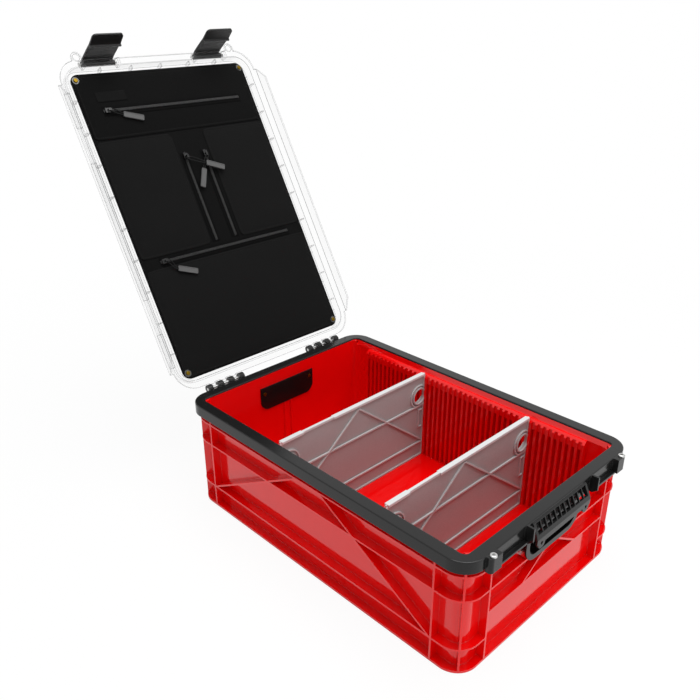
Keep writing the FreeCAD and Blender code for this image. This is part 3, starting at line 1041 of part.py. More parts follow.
for tag, axis, line, begin, end, face, ahead, aside, tab_turn, level, stand in zip_plans:
    def oriented(name, half_wide, start, stop, low, high):
        if axis == "x":
            return block(name, (start, line - half_wide, low), (stop, line + half_wide, high))
        return block(name, (line - half_wide, start, low), (line + half_wide, stop, high))
    tape_low = face - s.tape_thick
    coil_low = tape_low - s.coil_thick
    finish("zip_chain_" + tag, fuse("chain_" + tag, [
        oriented("tape_" + tag, s.tape / 2, begin, end, tape_low, face),
        oriented("coil_" + tag, s.coil / 2, begin, end, coil_low, tape_low)]), True)
    slide_from = begin + s.slider_end
    slide_to = slide_from + s.slider_long
    plate_high = coil_low - s.body_gap
    plate_low = plate_high - s.slider_thick
    roof_high = plate_low - stand - s.cord - s.cord_gap * 2
    roof_low = roof_high - s.bail_roof
    rear_foot = slide_from + s.bail_at
    front_foot = rear_foot + s.bail_foot + s.bail_gap
    bail_end = front_foot + s.bail_foot
    finish("zip_slider_" + tag, fuse("slider_" + tag, [
        oriented("slider_plate_" + tag, s.slider_wide / 2, slide_from, slide_to, plate_low, plate_high),
        oriented("bail_rear_" + tag, s.bail_wide / 2, rear_foot, rear_foot + s.bail_foot, roof_low,
                 plate_low),
        oriented("bail_front_" + tag, s.bail_post / 2, front_foot, bail_end, roof_low, plate_low),
        oriented("bail_roof_" + tag, s.bail_wide / 2, rear_foot, bail_end, roof_low, roof_high)]),
        True)
    tab = slab("tab_" + tag, s.tab_long / 2, s.tab_wide / 2, s.tab_corner, level, level + s.tab_thick)
    inset = slab("inset_" + tag, s.tab_long / 2 - s.tab_inset, s.tab_wide / 2 - s.tab_inset,
                 s.tab_corner - s.tab_inset, level - s.overrun, level + s.tab_inset_deep)
    tab_solid = cut("tab_solid_" + tag, tab, [inset])
    tab_spot = (slide_to + ahead, line + aside) if axis == "x" else (line + aside, slide_to + ahead)
    tab_solid.Placement = FreeCAD.Placement(vec(tab_spot[0], tab_spot[1], 0),
                                            FreeCAD.Rotation(UP, float(tab_turn)))
    finish("zip_pull_tab_" + tag, tab_solid, True)
    path, radii = curved_run(CORD_ROUTES[tag])
    print("cord", tag, "length %.2f" % path.Length, "radii", ["%.2f" % r for r in radii])
    start = vec(*CORD_ROUTES[tag][0])
    leaving = vec(*CORD_ROUTES[tag][1]) - start
    section = Part.Wire(Part.Circle(start, leaving, float(s.cord) / 2).toShape())
    cord = doc.addObject("Part::Feature", "cord_" + tag)
    cord.Shape = path.makePipeShell([section], True, False)
    ideal = math.pi * (s.cord / 2) * (s.cord / 2) * path.Length
    if abs(cord.Shape.Volume - ideal) > ideal * s.cord_volume_share:
        raise RuntimeError("cord %s folds into itself" % tag)
    finish("zip_pull_cord_" + tag, cord, True)

doc.recompute()
for thing in doc.Objects:
    if "Invalid" in thing.State or "Error" in thing.State:
        raise RuntimeError("%s did not build: %s" % (thing.Name, thing.State))
os.makedirs("parts", exist_ok=True)
for node in nodes:
    shape = node.Shape
    if shape.isNull() or not shape.isValid():
        raise RuntimeError("%s has no valid shape" % node.Label)
    shape.exportStep("parts/%s.step" % node.Label)
    box = shape.BoundBox
    print("%-22s solids %d  volume %10.1f  x %.1f %.1f  y %.1f %.1f  z %.1f %.1f" % (
        node.Label, len(shape.Solids), shape.Volume, box.XMin, box.XMax, box.YMin, box.YMax,
        box.ZMin, box.ZMax))
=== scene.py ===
import math

import bmesh
import bpy
from mathutils import Matrix, Vector


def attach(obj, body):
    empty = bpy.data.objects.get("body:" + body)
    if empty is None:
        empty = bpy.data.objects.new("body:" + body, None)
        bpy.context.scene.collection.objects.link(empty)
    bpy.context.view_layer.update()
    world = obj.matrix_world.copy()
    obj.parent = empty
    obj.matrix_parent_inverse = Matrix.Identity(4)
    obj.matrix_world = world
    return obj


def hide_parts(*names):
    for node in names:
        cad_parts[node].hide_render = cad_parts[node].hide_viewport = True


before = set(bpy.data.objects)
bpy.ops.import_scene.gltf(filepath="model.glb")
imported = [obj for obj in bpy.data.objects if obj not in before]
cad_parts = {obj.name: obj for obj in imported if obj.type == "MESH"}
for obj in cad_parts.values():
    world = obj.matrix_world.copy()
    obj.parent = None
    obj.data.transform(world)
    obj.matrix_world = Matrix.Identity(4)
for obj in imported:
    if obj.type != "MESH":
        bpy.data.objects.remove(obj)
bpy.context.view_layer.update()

# Tub: one deep injection moulding in glossy red polypropylene, with a rib cage outside.
# It carries everything else. Its thin rib edges catch the light, given as a painted highlight.


def screen(red, green, blue):
    """A colour as it is read off a screen, 0 to 255, as the shader's linear colour."""
    def linear(part):
        part = part / 255
        return part / 12.92 if part <= 0.04045 else ((part + 0.055) / 1.055) ** 2.4
    return (linear(red), linear(green), linear(blue), 1.0)


class Wire:
    """A shader socket. Arithmetic on it adds Math nodes, and node() adds any other node."""

    def __init__(self, tree, socket=None):
        self.tree = tree
        self.socket = socket

    def node(self, kind, settings=(), sockets=(), out=0):
        """Adds a node, sets its settings, then gives its sockets their values or links."""
        made = self.tree.nodes.new(kind)
        for name, value in dict(settings).items():
            setattr(made, name, value)
        for name, value in dict(sockets).items():
            if isinstance(value, Wire):
                self.tree.links.new(value.socket, made.inputs[name])
            else:
                made.inputs[name].default_value = value
        return Wire(self.tree, made.outputs[out] if made.outputs else None)

    def math(self, operation, first, second):
        return self.node("ShaderNodeMath", {"operation": operation}, {0: first, 1: second})

    def __add__(self, other):
        return self.math("ADD", self, other)

    def __radd__(self, other):
        return self.math("ADD", other, self)

    def __sub__(self, other):
        return self.math("SUBTRACT", self, other)

    def __rsub__(self, other):
        return self.math("SUBTRACT", other, self)

    def __mul__(self, other):
        return self.math("MULTIPLY", self, other)

    def __rmul__(self, other):
        return self.math("MULTIPLY", other, self)

    def __gt__(self, other):
        return self.math("GREATER_THAN", self, other)

    def __lt__(self, other):
        return self.math("LESS_THAN", self, other)

    def axes(self):
        """The three numbers of this vector, each as a wire."""
        return [self.node("ShaderNodeSeparateXYZ", {}, {"Vector": self}, out=k) for k in range(3)]

    def mixed(self, share, first, second):
        """Goes from the first colour to the second as share goes from 0 to 1."""
        return self.node("ShaderNodeMix", {"data_type": "RGBA"},
                         {"Factor": share, 6: first, 7: second}, out=2)

    def noise(self, place, size, detail=2.0):
        """Soft random patches of about that size in metres, from 0 to 1."""
        return self.node("ShaderNodeTexNoise", {},
                         {"Vector": place, "Scale": 1 / size, "Detail": detail})


def new_finish(name):
    """A material with an empty node tree, and the wires to fill it with."""
    material = bpy.data.materials.new(name)
    material.use_nodes = True
    material.node_tree.nodes.clear()
    return material, Wire(material.node_tree)


def show(wires, shader):
    """Ends a finish: sends its shader to the surface."""
    wires.node("ShaderNodeOutputMaterial", {}, {"Surface": shader})


EDGE_SAMPLES = 6
EDGE_CONTRAST = 3.2


def rounded_edge_mask(wires, width):
    """The normal rounded over edges of that width, and a mask that is 1 along them."""
    rounded = wires.node("ShaderNodeBevel", {"samples": EDGE_SAMPLES}, {"Radius": width})
    straight = wires.node("ShaderNodeNewGeometry", out="Normal")
    same = wires.node("ShaderNodeVectorMath", {"operation": "DOT_PRODUCT"},
                      {0: rounded, 1: straight}, out="Value")
    return rounded, wires.math("MINIMUM", (1 - same) * EDGE_CONTRAST, 1.0)


def toned(colour, share):
    """The colour made darker or lighter by that share."""
    return tuple(part * share for part in colour[:3]) + (1.0,)


MOULD_EDGE = 0.0007
MOTTLE_PATCH = 0.07
MOTTLE_TONE = 0.9
HANDLED_PATCH = 0.018
HANDLED_DULL = 0.08
TOOL_STRENGTH = 0.12
TOOL_DEPTH = 0.00015


def moulded(name, colour, edge_highlight, rough, grain, shine=0.5, highlight_share=0.35):
    """A moulded plastic: mottled colour, painted edge highlights, a fine tool grain, uneven
    gloss.
    """
    material, wires = new_finish(name)
    place = wires.node("ShaderNodeTexCoord", out="Object")
    rounded, edges = rounded_edge_mask(wires, MOULD_EDGE)
    mottle = wires.noise(place, MOTTLE_PATCH, 3.0)
    handled = wires.noise(place, HANDLED_PATCH, 4.0)
    body = wires.mixed(mottle, toned(colour, MOTTLE_TONE), colour)
    # Painted highlight: the edges are mixed towards a paler colour.
    body = wires.mixed(edges * highlight_share, body, edge_highlight)
    tooled = wires.noise(place, grain, 1.0)
    bumped = wires.node("ShaderNodeBump", {}, {
        "Strength": TOOL_STRENGTH, "Distance": TOOL_DEPTH, "Height": tooled, "Normal": rounded})
    show(wires, wires.node("ShaderNodeBsdfPrincipled", {}, {
        "Base Color": body, "Roughness": rough + handled * HANDLED_DULL,
        "Specular IOR Level": shine, "Normal": bumped}))
    return material


def dress(material, *nodes):
    """Gives CAD nodes a finish in place of their plain one."""
    for node in nodes:
        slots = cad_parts[node].data.materials
        slots.clear()
        slots.append(material)


tub_red = moulded("tub_red", screen(240, 5, 6), screen(246, 70, 70), rough=0.05, grain=0.0009)
dress(tub_red, "crate_tub")

# Rim frame: a dark grey moulding pressed over the tub's top edge, with hinge knuckles behind
# and a ribbed grip, ears and strike ledges in front. Fine spark-eroded texture, satin.

rim_grey = moulded("rim_grey", screen(26, 26, 26), screen(62, 62, 62),
                   rough=0.13, grain=0.0006, shine=0.28)
dress(rim_grey, "rim_frame")

# Lug screws: stainless steel button heads with a hex socket, turned and polished.
# One is driven down into each lug at the front corners of the rim.

TURNED_EDGE = 0.0003
TARNISH_PATCH = 0.003
TARNISH_DULL = 0.15
TURNING_MARK = 0.0004
MARK_STRENGTH = 0.15
MARK_DEPTH = 0.00005
BRIGHT_EDGE_SHARE = 0.4


def turned_metal(name, colour, dull, gloss):
    """A small turned metal part: fine turning marks, tarnish in patches."""
    material, wires = new_finish(name)
    place = wires.node("ShaderNodeTexCoord", out="Object")
    rounded, edges = rounded_edge_mask(wires, TURNED_EDGE)
    tarnish = wires.noise(place, TARNISH_PATCH, 4.0)
    marks = wires.noise(place, TURNING_MARK, 2.0)
    body = wires.mixed(tarnish, dull, colour)
    bumped = wires.node("ShaderNodeBump", {}, {
        "Strength": MARK_STRENGTH, "Distance": MARK_DEPTH, "Height": marks, "Normal": rounded})
    show(wires, wires.node("ShaderNodeBsdfPrincipled", {}, {
        "Base Color": wires.mixed(edges * BRIGHT_EDGE_SHARE, body, colour), "Metallic": 1.0,
        "Roughness": gloss + tarnish * TARNISH_DULL, "Normal": bumped}))
    return material


steel = turned_metal("steel", screen(214, 214, 212), screen(160, 160, 160), gloss=0.2)
dress(steel, "lug_screws")

# Hand-hole plugs: black moulded cups that close the hand holes in the two end walls.
# Each is held by two small brass screws driven from inside the tub.

plug_black = moulded("plug_black", screen(18, 15, 15), screen(46, 44, 44),
                     rough=0.1, grain=0.0007, shine=0.3)
dress(plug_black, "front_hand_plug", "rear_hand_plug")
brass = turned_metal("brass", screen(132, 106, 26), screen(70, 54, 10), gloss=0.24)
dress(brass, "plug_screws")

# Hinge pins: two plain ground steel rods, each pushed through one set of knuckles.
# The rim's knuckles and the lid's stand in turn along them.

dress(steel, "hinge_pin_left", "hinge_pin_right")

# Lid shell: a clear polycarbonate moulding, a shallow tray with side skirts and stacking
# rails. Its knuckles hang on the hinge pins. It is polished, with faint handling haze, and
# its corners bend the light away, so they show as thin dark lines.

LID_EDGE = 0.0011
LINE_CONTRAST = 3.5
HAZE_PATCH = 0.05
HAZE_SHARE = 0.012
LINE_SHARE = 0.85
GRAZING_SHARE = 0.6
LID_DULL = 0.03
HAZE_DULL = 0.04
lid_clear, wires = new_finish("lid_clear")
place = wires.node("ShaderNodeTexCoord", out="Object")
haze = wires.noise(place, HAZE_PATCH, 4.0)
edges = rounded_edge_mask(wires, LID_EDGE)[1]
outline = wires.math("MINIMUM", edges * LINE_CONTRAST, 1.0)
grazing = wires.node("ShaderNodeLayerWeight", {}, {"Blend": 0.35}, out="Facing")
solid = HAZE_SHARE + haze * HAZE_SHARE + outline * LINE_SHARE
solid = solid + grazing * grazing * grazing * GRAZING_SHARE
show(wires, wires.node("ShaderNodeBsdfPrincipled", {}, {
    "Base Color": wires.mixed(outline, screen(176, 178, 179), screen(30, 31, 32)),
    "Roughness": LID_DULL + haze * HAZE_DULL, "Specular IOR Level": 0.3,
    "Alpha": wires.math("MINIMUM", solid, 1.0)}))
dress(lid_clear, "lid_shell")

# Latches: two black swing latches that hook under the rim's ledges, each a bent moulded
# paddle on a steel pin between the lid's cheeks.

latch_black = moulded("latch_black", screen(27, 27, 27), screen(60, 60, 60),
                      rough=0.34, grain=0.0006, shine=0.3)
dress(latch_black, "latch_left", "latch_right")
dress(steel, "latch_pin_left", "latch_pin_right")

# Dividers: two pale grey mouldings that stand in the tub's wall slots and lift out. Thin web
# with a matt tool texture, crossed by smooth ribs, and a finger ring at each end.

DIVIDER_LINES = {"divider_front": -0.128125, "divider_rear": 0.087125}
WEB_HALF = 0.0015
FLANGE_LOW = 0.1726
STIPPLE = 0.0012
STIPPLE_DEPTH = 0.0002
WEB_SHADED = screen(150, 150, 150)
WEB_PATCH = 0.05
WEB_PATCH_SHARE = 0.3
WEB_EDGE_HIGHLIGHT = 0.35
WEB_DULL = 0.42
RIB_POLISH = 0.12
for node, line in DIVIDER_LINES.items():
    finish, wires = new_finish(node + "_grey")
    place = wires.node("ShaderNodeTexCoord", out="Object")
    along, height = place.axes()[1:]
    raised = wires.math("ABSOLUTE", along - line, 0.0) > WEB_HALF
    lit_flange_top = height > FLANGE_LOW
    stipple = wires.noise(place, STIPPLE, 1.0)
    mottle = wires.noise(place, WEB_PATCH, 3.0)
    rounded, edges = rounded_edge_mask(wires, MOULD_EDGE)
    # Painted shade: the web is painted darker than its ribs and flange.
    web = wires.mixed(stipple, WEB_SHADED, screen(184, 184, 184))
    web = wires.mixed(mottle * WEB_PATCH_SHARE, web, WEB_SHADED)
    body = wires.mixed(raised, web, screen(188, 188, 188))
    # Painted top light: the flange tops are painted lighter than the rest.
    body = wires.mixed(lit_flange_top, body, screen(206, 206, 206))
    # Painted highlight: the edges are mixed towards a paler grey.
    body = wires.mixed(edges * WEB_EDGE_HIGHLIGHT, body, screen(214, 214, 214))
    bumped = wires.node("ShaderNodeBump", {}, {
        "Strength": 0.2, "Distance": STIPPLE_DEPTH, "Height": stipple * (1 - raised),
        "Normal": rounded})
    show(wires, wires.node("ShaderNodeBsdfPrincipled", {}, {
        "Base Color": body, "Roughness": WEB_DULL - raised * RIB_POLISH,
        "Specular IOR Level": 0.25, "Normal": bumped}))
    dress(finish, node)

# Organiser board: a stiff board covered in black woven polyester, the back of all the pockets.
# The cloth is folded round the rounded edge, and four screws hold the board to the lid.

HINGE_LINE = Vector((0, 0.2935, 0.181))
LID_OPEN = math.radians(120)
LID_UP = (Matrix.Translation(HINGE_LINE) @ Matrix.Rotation(-LID_OPEN, 4, "X")
          @ Matrix.Translation(-HINGE_LINE))
BOARD_FACE = 0.1925
BOARD_LOW = Vector((-0.174, -0.265))
BOARD_HIGH = Vector((0.174, 0.2675))
BOARD_CORNER = 0.015
BOARD_THICK = 0.0025
BOARD_ROUND = 0.0008
BOARD_CREASE = math.radians(40)


def start_flat(low, high, level, columns=0, rows=0):
    """Adds a flat sheet in the closed lid's frame, at its size and place, in edit mode."""
    bpy.ops.object.select_all(action="DESELECT")
    middle = (low + high) / 2
    spot = (middle.x, middle.y, level)
    if columns:
        bpy.ops.mesh.primitive_grid_add(x_subdivisions=columns, y_subdivisions=rows, size=1,
                                        location=spot)
    else:
        bpy.ops.mesh.primitive_plane_add(size=1, location=spot)
    sheet = bpy.context.object
    sheet.scale = (high.x - low.x, high.y - low.y, 1)
    bpy.ops.object.transform_apply(location=True, rotation=True, scale=True)
    bpy.ops.object.mode_set(mode="EDIT")
    bpy.ops.mesh.select_all(action="SELECT")
    return sheet


def apply_modifier(piece, kind, **settings):
    """Adds a modifier with its settings and applies it."""
    modifier = piece.modifiers.new(kind.lower(), kind)
    for name, value in settings.items():
        setattr(modifier, name, value)
    bpy.context.view_layer.objects.active = piece
    bpy.ops.object.modifier_apply(modifier=modifier.name)


def stand_up(piece, name, body):
    """Ends a piece shaped flat in the closed lid: turns it up with the open lid to ride."""
    bpy.ops.object.select_all(action="DESELECT")
    piece.select_set(True)
    bpy.context.view_layer.objects.active = piece
    piece.matrix_world = LID_UP
    bpy.ops.object.transform_apply(location=True, rotation=True, scale=True)
    piece.name = name
    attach(piece, body)


THREAD = 0.0012
SLUB_PATCH = 0.004
SHADE_PATCH = 0.09
CLOTH_DARK = 0.8
CLOTH_PALE = 1.5
CLOTH_DULL = 0.72
SLUB_DULL = 0.2
SLUB_HEIGHT = 0.15
WEAVE_STRENGTH = 0.35
WEAVE_DEPTH = 0.0003
STITCH_LONG = 0.0034
STITCH_HALF = 0.00045


def woven(name, colour, thread, stitched=0):
    """Black plain weave in the lid's plane. Where stitched, a row of stitches that far in."""
    material, wires = new_finish(name)
    place = wires.node("ShaderNodeTexCoord", out="Object")
    flat = wires.node("ShaderNodeMapping", {}, {"Vector": place, "Rotation": (LID_OPEN, 0, 0)})
    across, along = flat.axes()[:2]
    turn = 2 * math.pi / thread
    warp = wires.node("ShaderNodeMath", {"operation": "SINE"}, {0: across * turn})
    weft = wires.node("ShaderNodeMath", {"operation": "SINE"}, {0: along * turn})
    weave = warp * weft * 0.5 + 0.5
    slub = wires.noise(flat, SLUB_PATCH, 3.0)
    shade = wires.noise(flat, SHADE_PATCH, 2.0)
    dark = toned(colour, CLOTH_DARK)
    body = wires.mixed(weave * 0.5 + slub * 0.5, colour, toned(colour, CLOTH_PALE))
    body = wires.mixed(shade * 0.5, body, dark)
    height = weave + slub * SLUB_HEIGHT
    if stitched:
        hem = wires.node("ShaderNodeAttribute", {"attribute_name": "hem"}, out="Fac")
        row = wires.math("ABSOLUTE", hem - stitched, 0.0) < STITCH_HALF
        dashes = wires.node("ShaderNodeMath", {"operation": "SINE"},
                            {0: (across + along) * (2 * math.pi / STITCH_LONG)})
        thread_on = row * (dashes > -0.5)
        body = wires.mixed(row, body, dark)
        body = wires.mixed(thread_on, body, screen(22, 22, 22))
        height = height + thread_on * 2.0
    bumped = wires.node("ShaderNodeBump", {}, {
        "Strength": WEAVE_STRENGTH, "Distance": WEAVE_DEPTH, "Height": height})
    show(wires, wires.node("ShaderNodeBsdfPrincipled", {}, {
        "Base Color": body, "Roughness": CLOTH_DULL + slub * SLUB_DULL, "Sheen Weight": 0.02,
        "Sheen Roughness": 0.4, "Specular IOR Level": 0.06, "Normal": bumped}))
    return material


board = start_flat(BOARD_LOW, BOARD_HIGH, BOARD_FACE)
bpy.ops.mesh.bevel(affect="VERTICES", offset=BOARD_CORNER, segments=10)
bpy.ops.mesh.extrude_region_move(TRANSFORM_OT_translate={"value": (0, 0, BOARD_THICK)})
bpy.ops.mesh.select_all(action="SELECT")
bpy.ops.mesh.normals_make_consistent(inside=False)
bpy.ops.object.mode_set(mode="OBJECT")
apply_modifier(board, "BEVEL", width=BOARD_ROUND, segments=3, limit_method="ANGLE")
bpy.ops.object.shade_smooth_by_angle(angle=BOARD_CREASE)
cloth_black = woven("cloth_black", screen(9, 9, 9), THREAD)
board.data.materials.append(cloth_black)
stand_up(board, "woven_board", "lid")
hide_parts("organiser_board")

# Board screws and washers: a brass pan-head screw on a grey steel washer at each corner.
# They go through the cloth and the board into bosses in the lid.

washer_grey = turned_metal("washer_grey", screen(104, 104, 102), screen(64, 64, 62), gloss=0.3)
dress(washer_grey, "board_washers")
dress(brass, "board_screws")

# Pockets: four flat polyester pockets sewn to the board along a hem, a little slack so the
# middle swells. The top one is a darker, finer weave, and its zip holds it flat.

CLOTH_STEP = 0.004
HEM_WIDTHS = (0.0, 0.0010, 0.0034, 0.0044, 0.0056)
HEM_DEPTHS = (0.0004, 0.0016, 0.0018, 0.0012, 0.0019)
SLACK_DEPTH = 0.0022
POCKET_CORNER = 0.010
INNER_HEM = 0.02
ZIP_LAND = 0.0095
ZIP_EASE = 0.022
SCREWS = [Vector((x, y)) for x in (-0.1655, 0.1655) for y in (-0.2544, 0.2566)]
DIMPLE = 0.014
DIMPLE_PINNED = 0.012
DIMPLE_FLAT = 0.0068
DIMPLE_EASE = 0.006
PRESSED_DEPTH = 0.00005


def eased(share):
    """Runs smoothly from 0 to 1."""
    share = min(max(share, 0.0), 1.0)
    return share * share * (3 - 2 * share)


def sewn_pocket(low, high, zip_line=None, zip_half=0.0, zip_depth=0.0):
    """A pocket's front sheet on the board, with its hem shaped and its sewn points pinned."""
    columns = round((high.x - low.x) / CLOTH_STEP)
    rows = round((high.y - low.y) / CLOTH_STEP)
    pocket = start_flat(low, high, BOARD_FACE, columns, rows)
    bpy.ops.mesh.flip_normals()
    bpy.ops.object.mode_set(mode="OBJECT")
    step = Vector(((high.x - low.x) / columns, (high.y - low.y) / rows))
    hems = []
    pinned = []
    for corner in pocket.data.vertices:
        spot = corner.co
        rings = []
        for axis in (0, 1):
            near = spot[axis] - low[axis]
            far = high[axis] - spot[axis]
            ring = round(min(near, far) / step[axis])
            if ring < len(HEM_WIDTHS):
                hem = HEM_WIDTHS[ring]
                spot[axis] = low[axis] + hem if near < far else high[axis] - hem
            rings.append(ring)
        ring = min(rings)
        inset = [min(spot[axis] - low[axis], high[axis] - spot[axis]) for axis in (0, 1)]
        if max(inset) < POCKET_CORNER:
            out = [1 - part / POCKET_CORNER for part in inset]
            for axis in (0, 1):
                pulled = out[axis] * math.sqrt(1 - out[1 - axis] ** 2 / 2)
                from_edge = POCKET_CORNER * (1 - pulled)
                if spot[axis] < (low[axis] + high[axis]) / 2:
                    spot[axis] = low[axis] + from_edge
                else:
                    spot[axis] = high[axis] - from_edge
        depth = HEM_DEPTHS[ring] if ring < len(HEM_DEPTHS) else SLACK_DEPTH
        held = ring < len(HEM_DEPTHS)
        if zip_line is not None:
            off = max(abs(spot.y - zip_line) - ZIP_LAND, abs(spot.x) - zip_half, 0.0)
            if not held:
                depth += (zip_depth - depth) * eased(1 - off / ZIP_EASE)
            held = held or off == 0.0
        for screw in SCREWS:
            away = (spot.xy - screw).length
            if away < DIMPLE:
                depth = PRESSED_DEPTH + depth * eased((away - DIMPLE_FLAT) / DIMPLE_EASE)
                held = held or away < DIMPLE_PINNED
        spot.z = BOARD_FACE - depth
        hems.append(HEM_WIDTHS[ring] if ring < len(HEM_WIDTHS) else INNER_HEM)
        if held:
            pinned.append(corner.index)
    pocket.vertex_groups.new(name="sewn").add(pinned, 1.0, "REPLACE")
    pocket.data.attributes.new("hem", "FLOAT", "POINT").data.foreach_set("value", hems)
    return pocket


TOP_ZIP_LINE = -0.1974
FINE_THREAD = 0.0009
POCKET_SIDE = 0.172
MIDDLE_LOW = -0.1475
MIDDLE_HIGH = 0.058
pockets = {
    "top": sewn_pocket(Vector((-POCKET_SIDE, -0.263)), Vector((POCKET_SIDE, -0.150)),
                       TOP_ZIP_LINE, zip_half=0.1415, zip_depth=0.00335),
    "left": sewn_pocket(Vector((-POCKET_SIDE, MIDDLE_LOW)), Vector((-0.031, MIDDLE_HIGH))),
    "right": sewn_pocket(Vector((0.034, MIDDLE_LOW)), Vector((POCKET_SIDE, MIDDLE_HIGH))),
    "bottom": sewn_pocket(Vector((-POCKET_SIDE, 0.0775)), Vector((POCKET_SIDE, 0.2655))),
}
SWELLS = {"top": 0.0009, "left": 0.0019, "right": 0.0019, "bottom": 0.0020}
CLOTH_FRAMES = 20
for pocket in pockets.values():
    cloth = pocket.modifiers.new("cloth", "CLOTH")
    cloth.settings.vertex_group_mass = "sewn"
    cloth.settings.quality = 6
    cloth.settings.use_pressure = True
    cloth.settings.uniform_pressure_force = 4.0
    cloth.settings.effector_weights.gravity = 0.0
    cloth.collision_settings.use_collision = False
for step in range(1, CLOTH_FRAMES + 1):
    bpy.context.scene.frame_set(step)
STITCH_LINE = HEM_WIDTHS[3]
pocket_cloth = woven("pocket_cloth", screen(15, 15, 15), THREAD, STITCH_LINE)
smooth_cloth = woven("smooth_cloth", screen(8, 8, 8), FINE_THREAD, STITCH_LINE)
for side, pocket in pockets.items():
    flat = [corner.co.copy() for corner in pocket.data.vertices]
    bpy.context.view_layer.objects.active = pocket
    bpy.ops.object.modifier_apply(modifier="cloth")
    moves = [corner.co - start for corner, start in zip(pocket.data.vertices, flat)]
    share = SWELLS[side] / max(move.length for move in moves)
    for corner, start, move in zip(pocket.data.vertices, flat, moves):
        corner.co = start + move * share
    bpy.ops.object.select_all(action="DESELECT")
    pocket.select_set(True)
    apply_modifier(pocket, "SUBSURF", levels=1, render_levels=1)
    bpy.ops.object.mode_set(mode="EDIT")
    bpy.ops.mesh.select_mode(type="EDGE")
    bpy.ops.mesh.select_all(action="DESELECT")
    bpy.ops.mesh.select_non_manifold()
    bpy.ops.mesh.extrude_region_move(TRANSFORM_OT_translate={"value": (0, 0, HEM_DEPTHS[0])})
    bpy.ops.mesh.edge_face_add()
    bpy.ops.mesh.select_all(action="SELECT")
    bpy.ops.mesh.normals_make_consistent(inside=False)
    bpy.ops.object.mode_set(mode="OBJECT")
    bpy.ops.object.shade_smooth()
    pocket.vertex_groups.clear()
    pocket.data.materials.append(smooth_cloth if side == "top" else pocket_cloth)
bpy.context.scene.frame_set(1)

# Bare patch: a soft black rubber patch with a thin raised border and nothing on its face.
# It is bonded to the top pocket and follows the swell of the cloth.

PATCH_LOW = Vector((-0.143, -0.231))
PATCH_HIGH = Vector((-0.088, -0.213))
PATCH_START = 0.180
PATCH_THICK = 0.0006
PATCH_BORDER = 0.0009
PATCH_STEP = 0.0003
PATCH_SINK = 0.0002
CRISP_CREASE = math.radians(35)
patch = start_flat(PATCH_LOW, PATCH_HIGH, PATCH_START, columns=22, rows=8)
bpy.ops.object.mode_set(mode="OBJECT")
apply_modifier(patch, "SHRINKWRAP", target=pockets["top"], wrap_method="PROJECT",
               use_project_x=False, use_project_y=False, use_project_z=True,
               use_positive_direction=True, use_negative_direction=False)
bpy.ops.object.mode_set(mode="EDIT")
bpy.ops.mesh.select_all(action="SELECT")
bpy.ops.mesh.extrude_region_move(TRANSFORM_OT_translate={"value": (0, 0, -PATCH_THICK)})
bpy.ops.mesh.inset(thickness=PATCH_BORDER)
bpy.ops.mesh.inset(thickness=PATCH_STEP, depth=-PATCH_SINK)
bpy.ops.mesh.select_all(action="SELECT")
bpy.ops.mesh.normals_make_consistent(inside=False)
bpy.ops.object.mode_set(mode="OBJECT")
bpy.ops.object.shade_smooth_by_angle(angle=CRISP_CREASE)
patch_black = moulded("patch_black", screen(5, 5, 5), screen(10, 10, 10),
                      rough=0.6, grain=0.0008, shine=0.06)
patch.data.materials.append(patch_black)
stand_up(patch, "rubber_patch", "lid")
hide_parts("blank_patch")
for side, pocket in pockets.items():
    stand_up(pocket, "woven_pocket_" + side, "lid")
    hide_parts("pocket_" + side)

# Zip chains: a woven tape sewn down with a nylon coil along its middle, closed under the
# slider. The coil's loops lie in two rows, half a pitch apart.

TAPE = 0.016
TAPE_THICK = 0.0008
TAPE_ROUND = 0.0002
TAPE_THREAD = 0.0008
COIL_PITCH = 0.0016
LOOP = Vector((0.0030, 0.0014, 0.0015))
LOOP_ROUND = 0.00022
LOOP_TAPER = (0.62, 0.8, 1)
LOOP_STAGGER = 0.25
LOOP_ROW = 0.00112
LOOP_SUNK = 0.0001
LONG_ZIP = 0.2794
SHORT_ZIP = 0.165
DOWN_LID = math.radians(90)
TOP_ZIP_LEVEL = 0.1891
ZIPS = {
    "top": (Vector((-0.1397, TOP_ZIP_LINE)), LONG_ZIP, 0.0, TOP_ZIP_LEVEL),
    "left": (Vector((-0.0188, -0.110)), SHORT_ZIP, DOWN_LID, BOARD_FACE),
    "right": (Vector((0.0226, -0.110)), SHORT_ZIP, DOWN_LID, BOARD_FACE),
    "bottom": (Vector((-0.1397, 0.0673)), LONG_ZIP, 0.0, BOARD_FACE),
}
zip_tape = woven("zip_tape", screen(4, 4, 4), TAPE_THREAD)
zip_coil = moulded("zip_coil", screen(28, 28, 28), screen(66, 66, 66),
                   rough=0.26, grain=0.0008, shine=0.4)


def pick_faces(piece, test):
    """In edit mode, selects the faces whose middle passes the test."""
    bpy.ops.mesh.select_mode(type="FACE")
    bpy.ops.mesh.select_all(action="DESELECT")
    mesh = bmesh.from_edit_mesh(piece.data)
    for face in mesh.faces:
        if test(face.calc_center_median()):
            face.select_set(True)
    bmesh.update_edit_mesh(piece.data)


